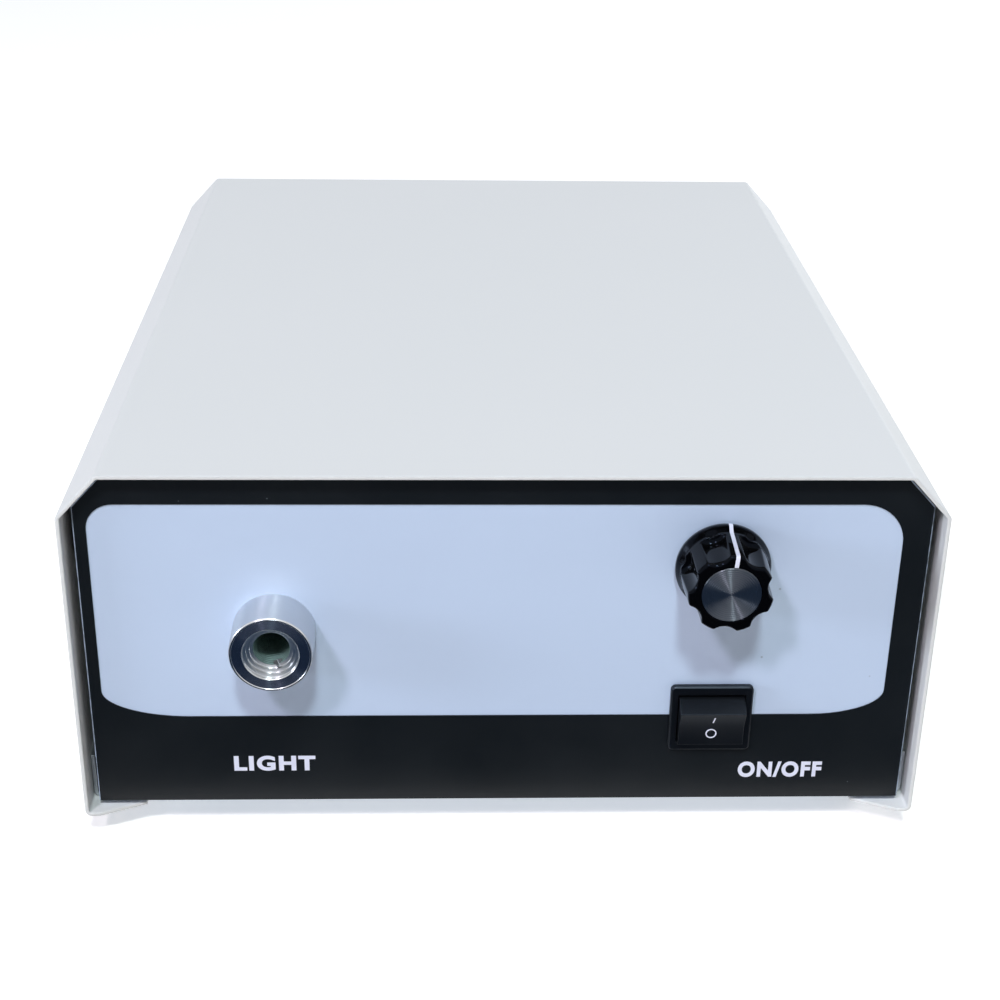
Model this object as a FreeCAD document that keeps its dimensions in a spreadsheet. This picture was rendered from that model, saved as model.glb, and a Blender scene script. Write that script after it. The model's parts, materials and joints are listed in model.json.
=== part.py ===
import FreeCAD, Part
import math
import os
import re

import Sketcher
from FreeCAD import Placement, Rotation, Vector

# Bench-top fibre optic light source: a folded steel cover over a tray, a front plate with the
# light-guide socket, a dimmer knob and a mains rocker switch, and a rear panel with a fan and
# a fused mains inlet.  Millimetres, +Z up, the front faces -Y, +X to the right.
# The origin is on the bench under the middle of the whole box that holds the instrument.

SIZES = {
    "Cover": {
        "cover_width": 255.0,
        "cover_height": 115.0,
        "cover_depth": 305.0,
        "front_edge_y": -145.85,
        "sheet": 1.2,
        "chamfer_run": 12.0,
        "chamfer_drop": 13.0,
        "bend_radius": 0.8,
        "flange_width": 18.0,
        "flange_cut_start": 4.5,
        "flange_cut_depth": 6.0,
        "cover_screw_inset": 40.0,
        "cover_screw_height": 9.5,
        "case_screw_reach": 3.6,
    },
    "Tray": {
        "tray_clearance": 0.2,
        "lip_height": 15.0,
        "corner_relief": 3.0,
        "intake_slot_length": 34.0,
        "intake_slot_width": 3.0,
        "intake_slot_pitch": 7.0,
        "intake_slot_count": 6,
        "intake_start": 109.0,
    },
    "Front panel": {
        "front_recess": 4.0,
        "film_thickness": 0.3,
        "film_margin": 0.3,
        "film_foot": 0.2,
        "plate_thickness": 1.5,
        "plate_side_gap": 2.7,
        "plate_top_gap": 0.4,
        "plate_foot_gap": 1.6,
        "plate_corner_gap": 0.7,
        "plate_hole_clearance": 0.1,
        "border_left": 7.6,
        "border_right": 12.1,
        "border_top": 10.7,
        "border_bottom": 33.3,
        "window_corner_left": 8.0,
        "window_corner_right": 12.5,
        "window_sweep_left": 26.0,
        "window_rise_left": 9.0,
        "window_sweep_right": 22.0,
        "window_rise_right": 8.5,
        "stud_radius": 1.5,
        "stud_length": 6.0,
        "stud_inset": 29.5,
        "stud_height": 9.0,
        "stud_nut_width": 5.5,
        "stud_nut_thickness": 2.4,
    },
    "Rear panel": {
        "rear_recess": 4.0,
        "rear_thickness": 1.5,
        "panel_screw_inset": 19.5,
        "vent_slot_length": 3.2,
        "vent_slot_height": 26.0,
        "vent_pitch": 8.0,
        "vent_count": 8,
        "vent_first_x": 34.0,
        "vent_top_inset": 13.0,
    },
    "Feet": {
        "foot_height": 8.0,
        "foot_radius": 8.0,
        "foot_top_radius": 9.0,
        "foot_side_inset": 10.5,
        "foot_inset": 32.0,
        "foot_bore_depth": 4.5,
        "foot_screw_radius": 2.0,
        "foot_screw_reach": 8.0,
        "foot_screw_head_radius": 3.8,
        "foot_screw_head": 2.6,
        "foot_hole_clearance": 0.15,
    },
    "Light-guide socket": {
        "socket_x": -67.7,
        "socket_z": 62.9,
        "barrel_radius": 12.3,
        "barrel_front_radius": 12.0,
        "barrel_length": 14.3,
        "barrel_chamfer": 1.2,
        "mouth_radius": 8.1,
        "mouth_step": 1.3,
        "mouth_step_radius": 0.9,
        "guide_bore_radius": 5.3,
        "neck_radius": 10.0,
        "neck_length": 15.0,
        "rear_cone_radius": 8.0,
        "rear_cone_depth": 3.0,
        "socket_nut_width": 26.0,
        "socket_nut_thickness": 6.0,
        "locking_screw_radius": 1.4,
        "locking_screw_length": 4.0,
        "locking_screw_setback": 5.2,
        "locking_screw_turn": -18.0,
    },
    "Knob": {
        "knob_x": 63.2,
        "knob_drop": 30.3,
        "knob_rest_turn": 5.0,
        "knob_gap": 0.6,
        "skirt_radius": 14.0,
        "skirt_edge": 1.4,
        "skirt_top_radius": 12.9,
        "skirt_height": 3.6,
        "grip_radius": 12.3,
        "grip_edge": 1.0,
        "knob_height": 17.5,
        "lobe_count": 7,
        "flute_radius": 5.2,
        "flute_depth": 1.7,
        "knob_recess_radius": 9.4,
        "knob_recess_depth": 5.4,
        "disc_radius": 8.6,
        "disc_thickness": 0.8,
        "knob_bush_radius": 5.5,
        "knob_bush_end": 14.0,
        "knob_screw_radius": 1.5,
        "knob_screw_length": 6.0,
        "knob_screw_setback": 9.0,
        "shaft_radius": 3.0,
        "shaft_clearance": 0.05,
        "shaft_end": 12.5,
        "shaft_edge": 0.5,
    },
    "Potentiometer": {
        "pot_radius": 12.0,
        "pot_length": 9.5,
        "pot_bore_depth": 8.0,
        "pot_bush_radius": 4.5,
        "pot_bush_reach": 5.0,
        "pot_washer_radius": 7.0,
        "pot_washer_thickness": 0.5,
        "pot_nut_width": 12.0,
        "pot_nut_thickness": 2.2,
        "lug_width": 2.4,
        "lug_thickness": 0.6,
        "lug_length": 6.0,
        "lug_pitch": 5.0,
    },
    "Rocker switch": {
        "switch_x": 63.0,
        "switch_z": 32.9,
        "bezel_width": 25.0,
        "bezel_height": 22.6,
        "bezel_depth": 1.8,
        "bezel_corner": 1.5,
        "bezel_edge": 0.5,
        "housing_width": 22.0,
        "housing_height": 20.0,
        "housing_length": 22.0,
        "opening_width": 20.4,
        "opening_height": 16.8,
        "opening_depth": 7.8,
        "cutout_clearance": 0.1,
        "catch_reach": 0.9,
        "catch_length": 5.0,
        "catch_width": 8.4,
        "pivot_depth": 3.0,
        "rocker_width": 19.8,
        "rocker_tilt": 13.0,
        "rocker_corner_out": 6.8,
        "rocker_corner_half": 6.4,
        "rocker_valley_out": 5.7,
        "rocker_shoulder_out": 1.8,
        "rocker_shoulder_half": 7.9,
        "rocker_back": 2.5,
        "rocker_back_half": 7.5,
        "trunnion_radius": 1.5,
        "trunnion_reach": 10.9,
        "trunnion_clearance": 0.06,
        "blade_width": 6.3,
        "blade_thickness": 0.8,
        "blade_length": 8.0,
        "blade_pitch_x": 12.0,
        "blade_pitch_z": 9.0,
    },
    "Lamp": {
        "lamp_y": 62.0,
        "lamp_plate_width": 66.0,
        "lamp_plate_margin": 8.0,
        "bracket_sheet": 1.5,
        "bracket_foot": 20.0,
        "lamp_window_radius": 23.0,
        "ring_radius": 30.0,
        "ring_length": 9.0,
        "ring_lip": 2.0,
        "ring_seat_radius": 25.3,
        "reflector_radius": 25.0,
        "dish_radius": 23.6,
        "reflector_rim": 2.5,
        "reflector_depth": 30.0,
        "reflector_wall": 1.6,
        "neck_half": 8.0,
        "capsule_radius": 5.0,
        "capsule_length": 22.0,
        "capsule_edge": 2.5,
        "lamp_pin_radius": 0.8,
        "lamp_pin_spacing": 6.35,
        "lamp_pin_length": 12.0,
        "holder_width": 27.0,
        "holder_height": 13.0,
        "holder_length": 16.0,
        "holder_round": 2.2,
        "spring_wire_radius": 0.6,
        "filter_y": 32.0,
        "filter_radius": 22.0,
        "filter_thickness": 3.0,
        "filter_window_radius": 19.0,
        "filter_plate_width": 52.0,
        "filter_plate_margin": 1.5,
        "clip_width": 6.0,
        "clip_reach": 4.0,
        "clip_gap": 1.0,
        "clip_thickness": 2.0,
        "bracket_screw_radius": 1.5,
        "bracket_screw_head_radius": 2.8,
        "bracket_screw_head": 1.9,
        "bracket_screw_spacing": 40.0,
    },
    "Fan": {
        "fan_x": -67.7,
        "fan_z": 60.0,
        "fan_width": 80.0,
        "fan_depth": 25.0,
        "fan_corner": 4.0,
        "fan_wall": 2.0,
        "fan_hole_inset": 4.25,
        "fan_hole_radius": 2.15,
        "fan_strut_width": 4.0,
        "fan_strut_depth": 3.0,
        "fan_seat_radius": 15.0,
        "fan_post_radius": 4.0,
        "fan_post_length": 8.0,
        "fan_axle_radius": 1.5,
        "fan_axle_clearance": 0.06,
        "hub_radius": 15.5,
        "hub_wall": 1.5,
        "hub_gap": 0.5,
        "hub_depth": 20.0,
        "blade_count": 7,
        "blade_tip_gap": 0.8,
        "blade_root_pitch": 48.0,
        "blade_tip_pitch": 30.0,
        "blade_root_sink": 1.4,
        "blade_root_chord": 17.5,
        "blade_tip_chord": 25.0,
        "blade_camber": 1.4,
        "blade_section": 1.4,
        "guard_wire_radius": 0.9,
        "guard_rise": 3.6,
        "guard_bar_setback": 0.8,
        "guard_ring_count": 4,
        "guard_ring_pitch": 9.0,
        "guard_eye_radius": 4.0,
        "guard_eye_height": 1.6,
        "guard_leg_lap": 0.2,
        "fan_screw_radius": 2.0,
        "fan_screw_head_radius": 3.6,
        "fan_screw_head": 2.2,
        "fan_nut_width": 7.0,
        "fan_nut_thickness": 3.2,
    },
    "Mains inlet": {
        "inlet_x": 78.0,
        "inlet_z": 38.0,
        "inlet_flange_width": 50.0,
        "inlet_flange_height": 36.0,
        "inlet_flange": 3.0,
        "inlet_flange_corner": 4.0,
        "inlet_body_width": 30.0,
        "inlet_body_height": 32.0,
        "inlet_body_depth": 25.0,
        "inlet_cavity_width": 24.5,
        "inlet_cavity_height": 16.5,
        "inlet_cavity_depth": 18.0,
        "inlet_cavity_cut": 4.5,
        "inlet_cavity_rise": 5.4,
        "inlet_screw_spacing": 40.0,
        "inlet_screw_radius": 1.5,
        "inlet_screw_head_radius": 2.9,
        "inlet_screw_head": 1.8,
        "inlet_screw_reach": 2.7,
        "pin_width": 4.0,
        "pin_thickness": 2.0,
        "pin_recess": 4.6,
        "pin_pitch": 14.0,
        "earth_pin_rise": 4.0,
        "pin_tail": 8.0,
        "drawer_width": 22.0,
        "drawer_height": 8.0,
        "drawer_drop": 10.0,
        "drawer_clearance": 0.3,
        "drawer_length": 20.0,
        "drawer_lip": 1.2,
        "drawer_overhang": 1.2,
        "fuse_radius": 2.6,
        "fuse_length": 20.0,
        "fuse_seat_depth": 15.0,
        "earth_stud_gap": 7.0,
        "earth_stud_setback": 15.0,
        "earth_stud_radius": 2.0,
        "earth_stud_height": 12.0,
        "earth_nut_width": 7.0,
        "earth_nut_thickness": 3.2,
    },
    "Transformer": {
        "toroid_x": 55.0,
        "toroid_setback": 88.0,
        "toroid_radius": 52.0,
        "toroid_hole_radius": 18.0,
        "toroid_height": 44.0,
        "toroid_round": 9.0,
        "pad_thickness": 2.0,
        "pad_overlap": 4.0,
        "clamp_radius": 36.0,
        "clamp_thickness": 2.0,
        "clamp_bolt_radius": 4.0,
        "clamp_nut_width": 13.0,
        "clamp_nut_thickness": 6.5,
        "clamp_head_thickness": 5.3,
        "clamp_hole_clearance": 0.2,
    },
    "Dimmer board": {
        "board_x": 62.0,
        "board_y": 82.0,
        "board_width": 92.0,
        "board_depth": 78.0,
        "board_thickness": 1.6,
        "board_hole_inset": 5.0,
        "standoff_width": 6.0,
        "standoff_height": 10.0,
        "board_screw_radius": 1.5,
        "board_screw_head_radius": 2.8,
        "board_screw_head": 1.9,
        "sink_width": 60.0,
        "sink_height": 34.0,
        "sink_base": 3.0,
        "sink_fin_count": 9,
        "sink_fin_thickness": 1.5,
        "sink_fin_reach": 14.0,
        "sink_setback": 10.0,
        "triac_width": 10.2,
        "triac_height": 15.5,
        "triac_thickness": 4.5,
        "triac_lead": 4.0,
        "triac_lead_thickness": 0.8,
        "triac_lead_pitch": 2.54,
        "cap_inset": 11.5,
        "cap_round": 1.2,
        "cap_width": 26.0,
        "cap_depth": 10.0,
        "cap_height": 19.0,
        "choke_x": 69.0,
        "choke_round": 2.75,
        "choke_radius": 13.0,
        "choke_hole_radius": 6.0,
        "choke_height": 11.0,
        "terminal_pitch": 5.0,
        "terminal_count": 6,
        "terminal_depth": 9.0,
        "terminal_height": 12.0,
        "terminal_entry": 3.4,
        "terminal_entry_depth": 4.5,
    },
}

# Places worked out from the sizes above; each is written once and used by all that seats there.
PLACES = {
    "floor_z": "foot_height",
    "tray_z": "floor_z + sheet",
    "tray_top_z": "tray_z + sheet",
    "panel_face_y": "front_edge_y + front_recess",
    "plate_front_y": "panel_face_y + film_thickness",
    "plate_back_y": "plate_front_y + plate_thickness",
    "rear_face_y": "front_edge_y + cover_depth - rear_recess",
    "rear_inner_y": "rear_face_y - rear_thickness",
    "tray_length": "rear_inner_y - plate_back_y",
    "tray_half": "cover_width / 2 - sheet - tray_clearance",
    "plate_half": "cover_width / 2 - sheet - plate_side_gap",
    "plate_top": "cover_height - sheet - plate_top_gap",
    "plate_foot": "sheet + plate_foot_gap",
    "chamfer_length": "sqrt(chamfer_run * chamfer_run + chamfer_drop * chamfer_drop)",
    "foot_x": "cover_width / 2 - foot_side_inset",
    "stud_x": "cover_width / 2 - stud_inset",
    "panel_screw_x": "cover_width / 2 - panel_screw_inset",
    "window_left": "border_left - cover_width / 2",
    "window_right": "cover_width / 2 - border_right",
    "window_top": "cover_height - border_top",
    "vent_bottom": "cover_height - vent_top_inset - vent_slot_height",
    "socket_axis_z": "floor_z + socket_z",
    "knob_z": "cover_height - knob_drop",
    "knob_axis_z": "floor_z + knob_z",
    "knob_base": "film_thickness + knob_gap",
    "switch_axis_z": "floor_z + switch_z",
    "fan_axis_z": "floor_z + fan_z",
    "fan_bore_radius": "fan_width / 2 - fan_wall",
    "fan_hole_spacing": "fan_width - 2 * fan_hole_inset",
    "blade_tip_radius": "fan_bore_radius - blade_tip_gap",
    "blade_level": "hub_gap + hub_depth / 2 + fan_strut_depth - fan_depth",
    "inlet_axis_z": "floor_z + inlet_z",
    "lamp_plate_y": "front_edge_y + lamp_y",
    "filter_plate_y": "front_edge_y + filter_y",
    "optical_height": "socket_axis_z - tray_top_z",
    "lamp_plate_height": "optical_height + ring_radius + lamp_plate_margin",
    "filter_plate_height": "optical_height + filter_radius + filter_plate_margin",
    "earth_stud_x": "inlet_x - inlet_flange_width / 2 - earth_stud_gap",
    "toroid_y": "cover_depth - rear_recess - rear_thickness - toroid_setback",
    "board_left": "board_x - board_width / 2",
    "board_front": "front_edge_y + board_y - board_depth / 2",
    "board_top_z": "tray_top_z + standoff_height + board_thickness",
    "front_screw_y": "cover_screw_inset",
    "rear_screw_y": "cover_depth - cover_screw_inset",
}

NAMES = {name for group in SIZES.values() for name in group}

doc = FreeCAD.newDocument("fibre_light_source")
sheet = doc.addObject("Spreadsheet::Sheet", "Sizes")


def fill_sheet():
    """One row per size: its name in column A, its number in column B under the alias."""
    row = 1
    for title, group in SIZES.items():
        sheet.set(f"A{row}", title)
        row += 1
        for name, number in group.items():
            sheet.set(f"A{row}", name)
            sheet.set(f"B{row}", str(number))
            sheet.setAlias(f"B{row}", name)
            row += 1
    doc.recompute()


def bind(text):
    """Turn the plain names in a formula into references to the sheet's cells."""

    def swap(match):
        word = match.group(0)
        if word in PLACES:
            return "(" + bind(PLACES[word]) + ")"
        if word in NAMES:
            return "Sizes." + word
        return word

    return re.sub(r"[a-z][a-z0-9_]*", swap, str(text))


def value(text):
    """The number that a formula comes to."""
    return float(sheet.evalExpression(bind(text)))


# ---------------------------------------------------------------------------------------------
# Tools for bodies, sketches and features
# ---------------------------------------------------------------------------------------------

PARTS = []

SAME_PLACE = 0.01  # mm between two points that count as one
SAME_WAY = 0.999  # cosine between two directions that count as one
LEAST_CUT = 1e-4  # mm3 that a pocket or groove takes away at the least


def new_body(label, x="0", y="0", z="0", turn=None, about=Vector(0, 1, 0)):
    """A body whose own origin stands at x, y, z, turned about one of the axes."""
    body = doc.addObject("PartDesign::Body", "Body_" + label)
    body.Label = label
    if turn is not None:
        body.Placement = Placement(Vector(), Rotation(about, value(turn)))
        body.setExpression("Placement.Rotation.Angle", bind(turn))
    for axis, place in zip("xyz", (x, y, z)):
        body.setExpression(f"Placement.Base.{axis}", bind(place))
    PARTS.append(body)
    return body


def new_sketch(body, plane, level="0"):
    """A sketch on one of the body's origin planes, moved along +X, +Y or +Z to a level."""
    sketch = body.newObject("Sketcher::SketchObject", "Sketch")
    origin_plane = [item for item in body.Origin.OriginFeatures if item.Role == plane + "_Plane"][0]
    sketch.AttachmentSupport = [(origin_plane, "")]
    sketch.MapMode = "FlatFace"
    sign = "-1" if plane == "XZ" else "1"
    sketch.setExpression("AttachmentOffset.Base.z", bind(f"{sign} * ({level})"))
    return sketch


def fix(sketch, kind, index, point, formula):
    """Hold one coordinate of a point to a formula, measured from the sketch's origin."""
    constraint = sketch.addConstraint(Sketcher.Constraint(kind, -1, 1, index, point, value(formula)))
    sketch.setExpression(f"Constraints[{constraint}]", bind(formula))


def draw_loop(sketch, points):
    """A closed chain of straight lines; every corner is held to its two formulas."""
    corners = [Vector(value(across), value(up), 0) for across, up in points]
    first = sketch.GeometryCount
    count = len(corners)
    for index, corner in enumerate(corners):
        line = Part.LineSegment(corner, corners[(index + 1) % count])
        sketch.addGeometry(line, False)
    for index, (across, up) in enumerate(points):
        line = first + index
        following = first + (index + 1) % count
        sketch.addConstraint(Sketcher.Constraint("Coincident", line, 2, following, 1))
        fix(sketch, "DistanceX", line, 1, across)
        fix(sketch, "DistanceY", line, 1, up)


def draw_box(sketch, left, right, low, high):
    draw_loop(sketch, [(left, low), (right, low), (right, high), (left, high)])


def draw_middle_box(sketch, across, up, width, height):
    """A rectangle given by its centre and its two sides."""
    draw_box(
        sketch,
        f"{across} - ({width}) / 2",
        f"{across} + ({width}) / 2",
        f"{up} - ({height}) / 2",
        f"{up} + ({height}) / 2",
    )


def draw_circle(sketch, across, up, radius):
    centre = Vector(value(across), value(up), 0)
    index = sketch.addGeometry(Part.Circle(centre, Vector(0, 0, 1), value(radius)), False)
    fix(sketch, "DistanceX", index, 3, across)
    fix(sketch, "DistanceY", index, 3, up)
    constraint = sketch.addConstraint(Sketcher.Constraint("Radius", index, value(radius)))
    sketch.setExpression(f"Constraints[{constraint}]", bind(radius))


def draw_hexagon(sketch, across, up, width):
    """A nut's outline, width across its flats."""
    corner = f"({width}) / sqrt(3)"
    points = []
    for step in range(6):
        points.append((f"{across} + {corner} * cos({60 * step})", f"{up} + {corner} * sin({60 * step})"))
    draw_loop(sketch, points)


def extend(body, kind, sketch, plane, length):
    """Pad or pocket a sketch along +X, +Y or +Z."""
    feature = body.newObject("PartDesign::" + kind, kind)
    feature.Profile = sketch
    feature.setExpression("Length", bind(length))
    feature.Reversed = (plane == "XZ") == (kind == "Pad")
    sketch.Visibility = False
    return feature


def add(body, plane, start, end, draw):
    """Material between two levels along the plane's axis, in the outline that draw makes."""
    sketch = new_sketch(body, plane, start)
    draw(sketch)
    return extend(body, "Pad", sketch, plane, f"({end}) - ({start})")


def cut(body, plane, start, end, draw):
    """The same, taken away."""
    sketch = new_sketch(body, plane, start)
    draw(sketch)
    return extend(body, "Pocket", sketch, plane, f"({end}) - ({start})")


def revolve(body, sketch, angle):
    """Turn a sketch about its own upright axis."""
    feature = body.newObject("PartDesign::Revolution", "Revolution")
    feature.Profile = sketch
    feature.ReferenceAxis = (sketch, ["V_Axis"])
    feature.Angle = angle
    sketch.Visibility = False
    return feature


def spin(body, plane, points):
    """Turn a profile of (radius, length) points: on XY about the Y axis, on XZ about the Z axis."""
    sketch = new_sketch(body, plane)
    draw_loop(sketch, points)
    return revolve(body, sketch, 360.0)


def dress(body, kind, size, choose):
    """Round or bevel the edges of the last feature that choose picks."""
    doc.recompute()
    base = body.Tip
    edges = [f"Edge{index + 1}" for index, edge in enumerate(base.Shape.Edges) if choose(edge)]
    feature = body.newObject("PartDesign::" + kind, kind)
    feature.Base = (base, edges)
    feature.setExpression("Radius" if kind == "Fillet" else "Size", bind(size))
    return feature


def repeat_round(body, feature, axis, count):
    """Copies of a feature all round one of the body's axes."""
    pattern = body.newObject("PartDesign::PolarPattern", "PolarPattern")
    origin_axis = [item for item in body.Origin.OriginFeatures if item.Role == axis + "_Axis"][0]
    pattern.Originals = [feature]
    pattern.Axis = (origin_axis, [""])
    pattern.Angle = 360.0
    pattern.setExpression("Occurrences", bind(count))
    body.Tip = pattern
    return pattern


def repeat_along(body, feature, axis, count, pitch):
    """Copies of a feature in a row along one of the body's axes."""
    pattern = body.newObject("PartDesign::LinearPattern", "LinearPattern")
    origin_axis = [item for item in body.Origin.OriginFeatures if item.Role == axis + "_Axis"][0]
    pattern.Originals = [feature]
    pattern.Direction = (origin_axis, [""])
    pattern.setExpression("Length", bind(f"({count} - 1) * {pitch}"))
    pattern.setExpression("Occurrences", bind(count))
    body.Tip = pattern
    return pattern


def along(edge, axis):
    """True for a straight edge that lies along the axis."""
    if edge.Curve.TypeId != "Part::GeomLine":
        return False
    return abs(edge.tangentAt(edge.FirstParameter).dot(axis)) > SAME_WAY


def at_level(level):
    """A chooser of the straight edges that lie flat at a height in the body."""
    height = value(level)

    def choose(edge):
        return all(abs(vertex.Z - height) < 0.001 for vertex in edge.Vertexes)

    return choose


def all_pairs(half_across, half_up):
    """The four corners of a rectangle about x = 0."""
    corners = []
    for across in (f"-({half_across})", half_across):
        for up in (f"-({half_up})", half_up):
            corners.append((across, up))
    return corners


def draw_circles(centres, radius):
    """A drawing routine for one circle at each centre."""

    def draw(sketch):
        for across, up in centres:
            draw_circle(sketch, across, up, radius)

    return draw


def draw_hexagons(centres, width):
    def draw(sketch):
        for across, up in centres:
            draw_hexagon(sketch, across, up, width)

    return draw


X_AXIS, Y_AXIS, Z_AXIS = Vector(1, 0, 0), Vector(0, 1, 0), Vector(0, 0, 1)


# ---------------------------------------------------------------------------------------------
# The case: cover, tray, front plate with its printed border, rear panel, feet
# ---------------------------------------------------------------------------------------------


def beside_chamfer_x(gap, up):
    """Distance from the middle to a line that keeps a gap inside the cover's sloping corner."""
    return (
        f"(cover_width / 2 - chamfer_run + (cover_height - ({up})) * chamfer_run / chamfer_drop"
        f" - ({gap}) * chamfer_length / chamfer_drop)"
    )


def beside_chamfer_z(gap, across):
    """Height of the same line at a distance from the middle."""
    return (
        f"(cover_height - (({across}) - cover_width / 2 + chamfer_run"
        f" + ({gap}) * chamfer_length / chamfer_drop) * chamfer_drop / chamfer_run)"
    )


def mirror_left(right_side):
    """Close an outline whose right-hand points run upwards, with the same points at the left."""
    left_side = [(f"-({across})", up) for across, up in reversed(right_side)]
    return right_side + left_side


def foot_places():
    """Screw places of the four feet, measured from the cover's front edge."""
    places = []
    for across in ("-foot_x", "foot_x"):
        for along_y in ("foot_inset", "cover_depth - foot_inset"):
            places.append((across, along_y))
    return places


def make_cover():
    body = new_body("top_cover", "0", "front_edge_y", "floor_z")
    half = "cover_width / 2"
    inner_half = "cover_width / 2 - sheet"
    outer = [
        ("cover_width / 2 - flange_width", "0"),
        (half, "0"),
        (half, "cover_height - chamfer_drop"),
        ("cover_width / 2 - chamfer_run", "cover_height"),
    ]
    inner = [
        ("cover_width / 2 - flange_width", "sheet"),
        (inner_half, "sheet"),
        (inner_half, beside_chamfer_z("sheet", inner_half)),
        (beside_chamfer_x("sheet", "cover_height - sheet"), "cover_height - sheet"),
    ]
    outer_left = [(f"-({across})", up) for across, up in reversed(outer)]
    inner_left = [(f"-({across})", up) for across, up in inner]
    section = outer + outer_left + inner_left + list(reversed(inner))

    add(body, "XZ", "0", "cover_depth", lambda sketch: draw_loop(sketch, section))
    limit = value("cover_width / 2 - flange_width") + 0.5

    def bend(points):
        places = [(abs(value(across)), value(up)) for across, up in points]

        def choose(edge):
            if not along(edge, Y_AXIS):
                return False
            middle = edge.CenterOfMass
            return any(
                abs(abs(middle.x) - across) < SAME_PLACE and abs(middle.z - up) < SAME_PLACE
                for across, up in places if across > limit
            )

        return choose

    dress(body, "Fillet", "bend_radius", bend(inner))
    dress(body, "Fillet", "bend_radius + sheet", bend(outer))

    def flange_corners(sketch):
        for side in ("-1", "1"):
            for start, way in (("0", "1"), ("cover_depth", "-1")):
                near = f"{side} * (cover_width / 2 - flange_cut_start)"
                far = f"{side} * (cover_width / 2 - flange_width - sheet)"
                reach = "flange_cut_depth * (flange_width + sheet - flange_cut_start)"
                reach += " / (flange_width - flange_cut_start)"
                draw_loop(sketch, [
                    (near, start),
                    (far, start),
                    (far, f"{start} + {way} * {reach}"),
                ])

    cut(body, "XY", "0", "sheet", flange_corners)
    cut(body, "XY", "0", "sheet", draw_circles(foot_places(), "foot_screw_radius + foot_hole_clearance"))
    screw_holes = [("front_screw_y", "cover_screw_height"), ("rear_screw_y", "cover_screw_height")]
    hole = draw_circles(screw_holes, "bracket_screw_radius + foot_hole_clearance")
    cut(body, "YZ", "-cover_width / 2", "cover_width / 2", hole)


def make_tray():
    body = new_body("chassis_tray", "0", "plate_back_y", "tray_z")
    shift = "(plate_back_y - front_edge_y)"
    add(body, "XY", "0", "lip_height",
        lambda sketch: draw_box(sketch, "-tray_half", "tray_half", "0", "tray_length"))
    dress(body, "Fillet", "bend_radius + sheet", at_level("0"))
    cut(body, "XY", "sheet", "lip_height",
        lambda sketch: draw_box(sketch, "-tray_half + sheet", "tray_half - sheet",
                                "sheet", "tray_length - sheet"))
    dress(body, "Fillet", "bend_radius", at_level("sheet"))

    def corners(sketch):
        for left, right in (("-tray_half", "-tray_half + corner_relief"),
                            ("tray_half - corner_relief", "tray_half")):
            draw_box(sketch, left, right, "0", "corner_relief")
            draw_box(sketch, left, right, "tray_length - corner_relief", "tray_length")

    cut(body, "XY", "0", "lip_height", corners)
    feet = [(across, f"{place} - {shift}") for across, place in foot_places()]
    cut(body, "XY", "0", "sheet", draw_circles(feet, "foot_screw_radius"))
    side_screws = [(f"{place} - {shift}", "cover_screw_height - sheet")
                   for place in ("front_screw_y", "rear_screw_y")]
    cut(body, "YZ", "-tray_half", "tray_half", draw_circles(side_screws, "bracket_screw_radius"))
    studs = [("-stud_x", "stud_height - sheet"), ("stud_x", "stud_height - sheet")]
    cut(body, "XZ", "0", "sheet", draw_circles(studs, "stud_radius"))
    panel_screws = [("-panel_screw_x", "stud_height - sheet"), ("panel_screw_x", "stud_height - sheet")]
    cut(body, "XZ", "tray_length - sheet", "tray_length", draw_circles(panel_screws, "stud_radius"))
    brackets = [(f"socket_x + {side} * bracket_screw_spacing / 2", f"{place} + bracket_foot / 2 - {shift}")
                for side in ("-1", "1") for place in ("lamp_y", "filter_y")]
    cut(body, "XY", "0", "sheet", draw_circles(brackets, "bracket_screw_radius"))
    cut(body, "XY", "0", "sheet",
        draw_circles([("toroid_x", f"toroid_y - {shift}")], "clamp_bolt_radius + clamp_hole_clearance"))
    earth = [("earth_stud_x", "tray_length - earth_stud_setback")]
    cut(body, "XY", "0", "sheet", draw_circles(earth, "earth_stud_radius"))
    slot = cut(body, "XY", "0", "sheet",
               lambda sketch: draw_middle_box(sketch, "socket_x", f"intake_start - {shift}",
                                              "intake_slot_length", "intake_slot_width"))
    repeat_along(body, slot, "Y", "intake_slot_count", "intake_slot_pitch")


def panel_outline(margin):
    """The shape of the plates in the cover's mouth, drawn in by a margin."""
    across = f"plate_half - ({margin})"
    top = f"plate_top - ({margin})"
    gap = f"sheet + plate_corner_gap + ({margin})"
    return mirror_left([
        (across, f"plate_foot + ({margin})"),
        (across, beside_chamfer_z(gap, across)),
        (beside_chamfer_x(gap, top), top),
    ])


def switch_cutout(sketch):
    draw_middle_box(sketch, "switch_x", "switch_z",
                    "housing_width + 2 * cutout_clearance", "housing_height + 2 * cutout_clearance")


def make_front_plate():
    body = new_body("front_plate", "0", "plate_front_y", "floor_z")
    socket_hole = draw_circles([("socket_x", "socket_z")], "neck_radius + plate_hole_clearance")
    knob_hole = draw_circles([("knob_x", "knob_z")], "pot_bush_radius + plate_hole_clearance")
    add(body, "XZ", "0", "plate_thickness", lambda sketch: draw_loop(sketch, panel_outline("0")))
    cut(body, "XZ", "0", "plate_thickness", socket_hole)
    cut(body, "XZ", "0", "plate_thickness", knob_hole)
    cut(body, "XZ", "0", "plate_thickness", switch_cutout)
    studs = [("-stud_x", "stud_height"), ("stud_x", "stud_height")]
    add(body, "XZ", "plate_thickness", "plate_thickness + stud_length", draw_circles(studs, "stud_radius"))


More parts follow.
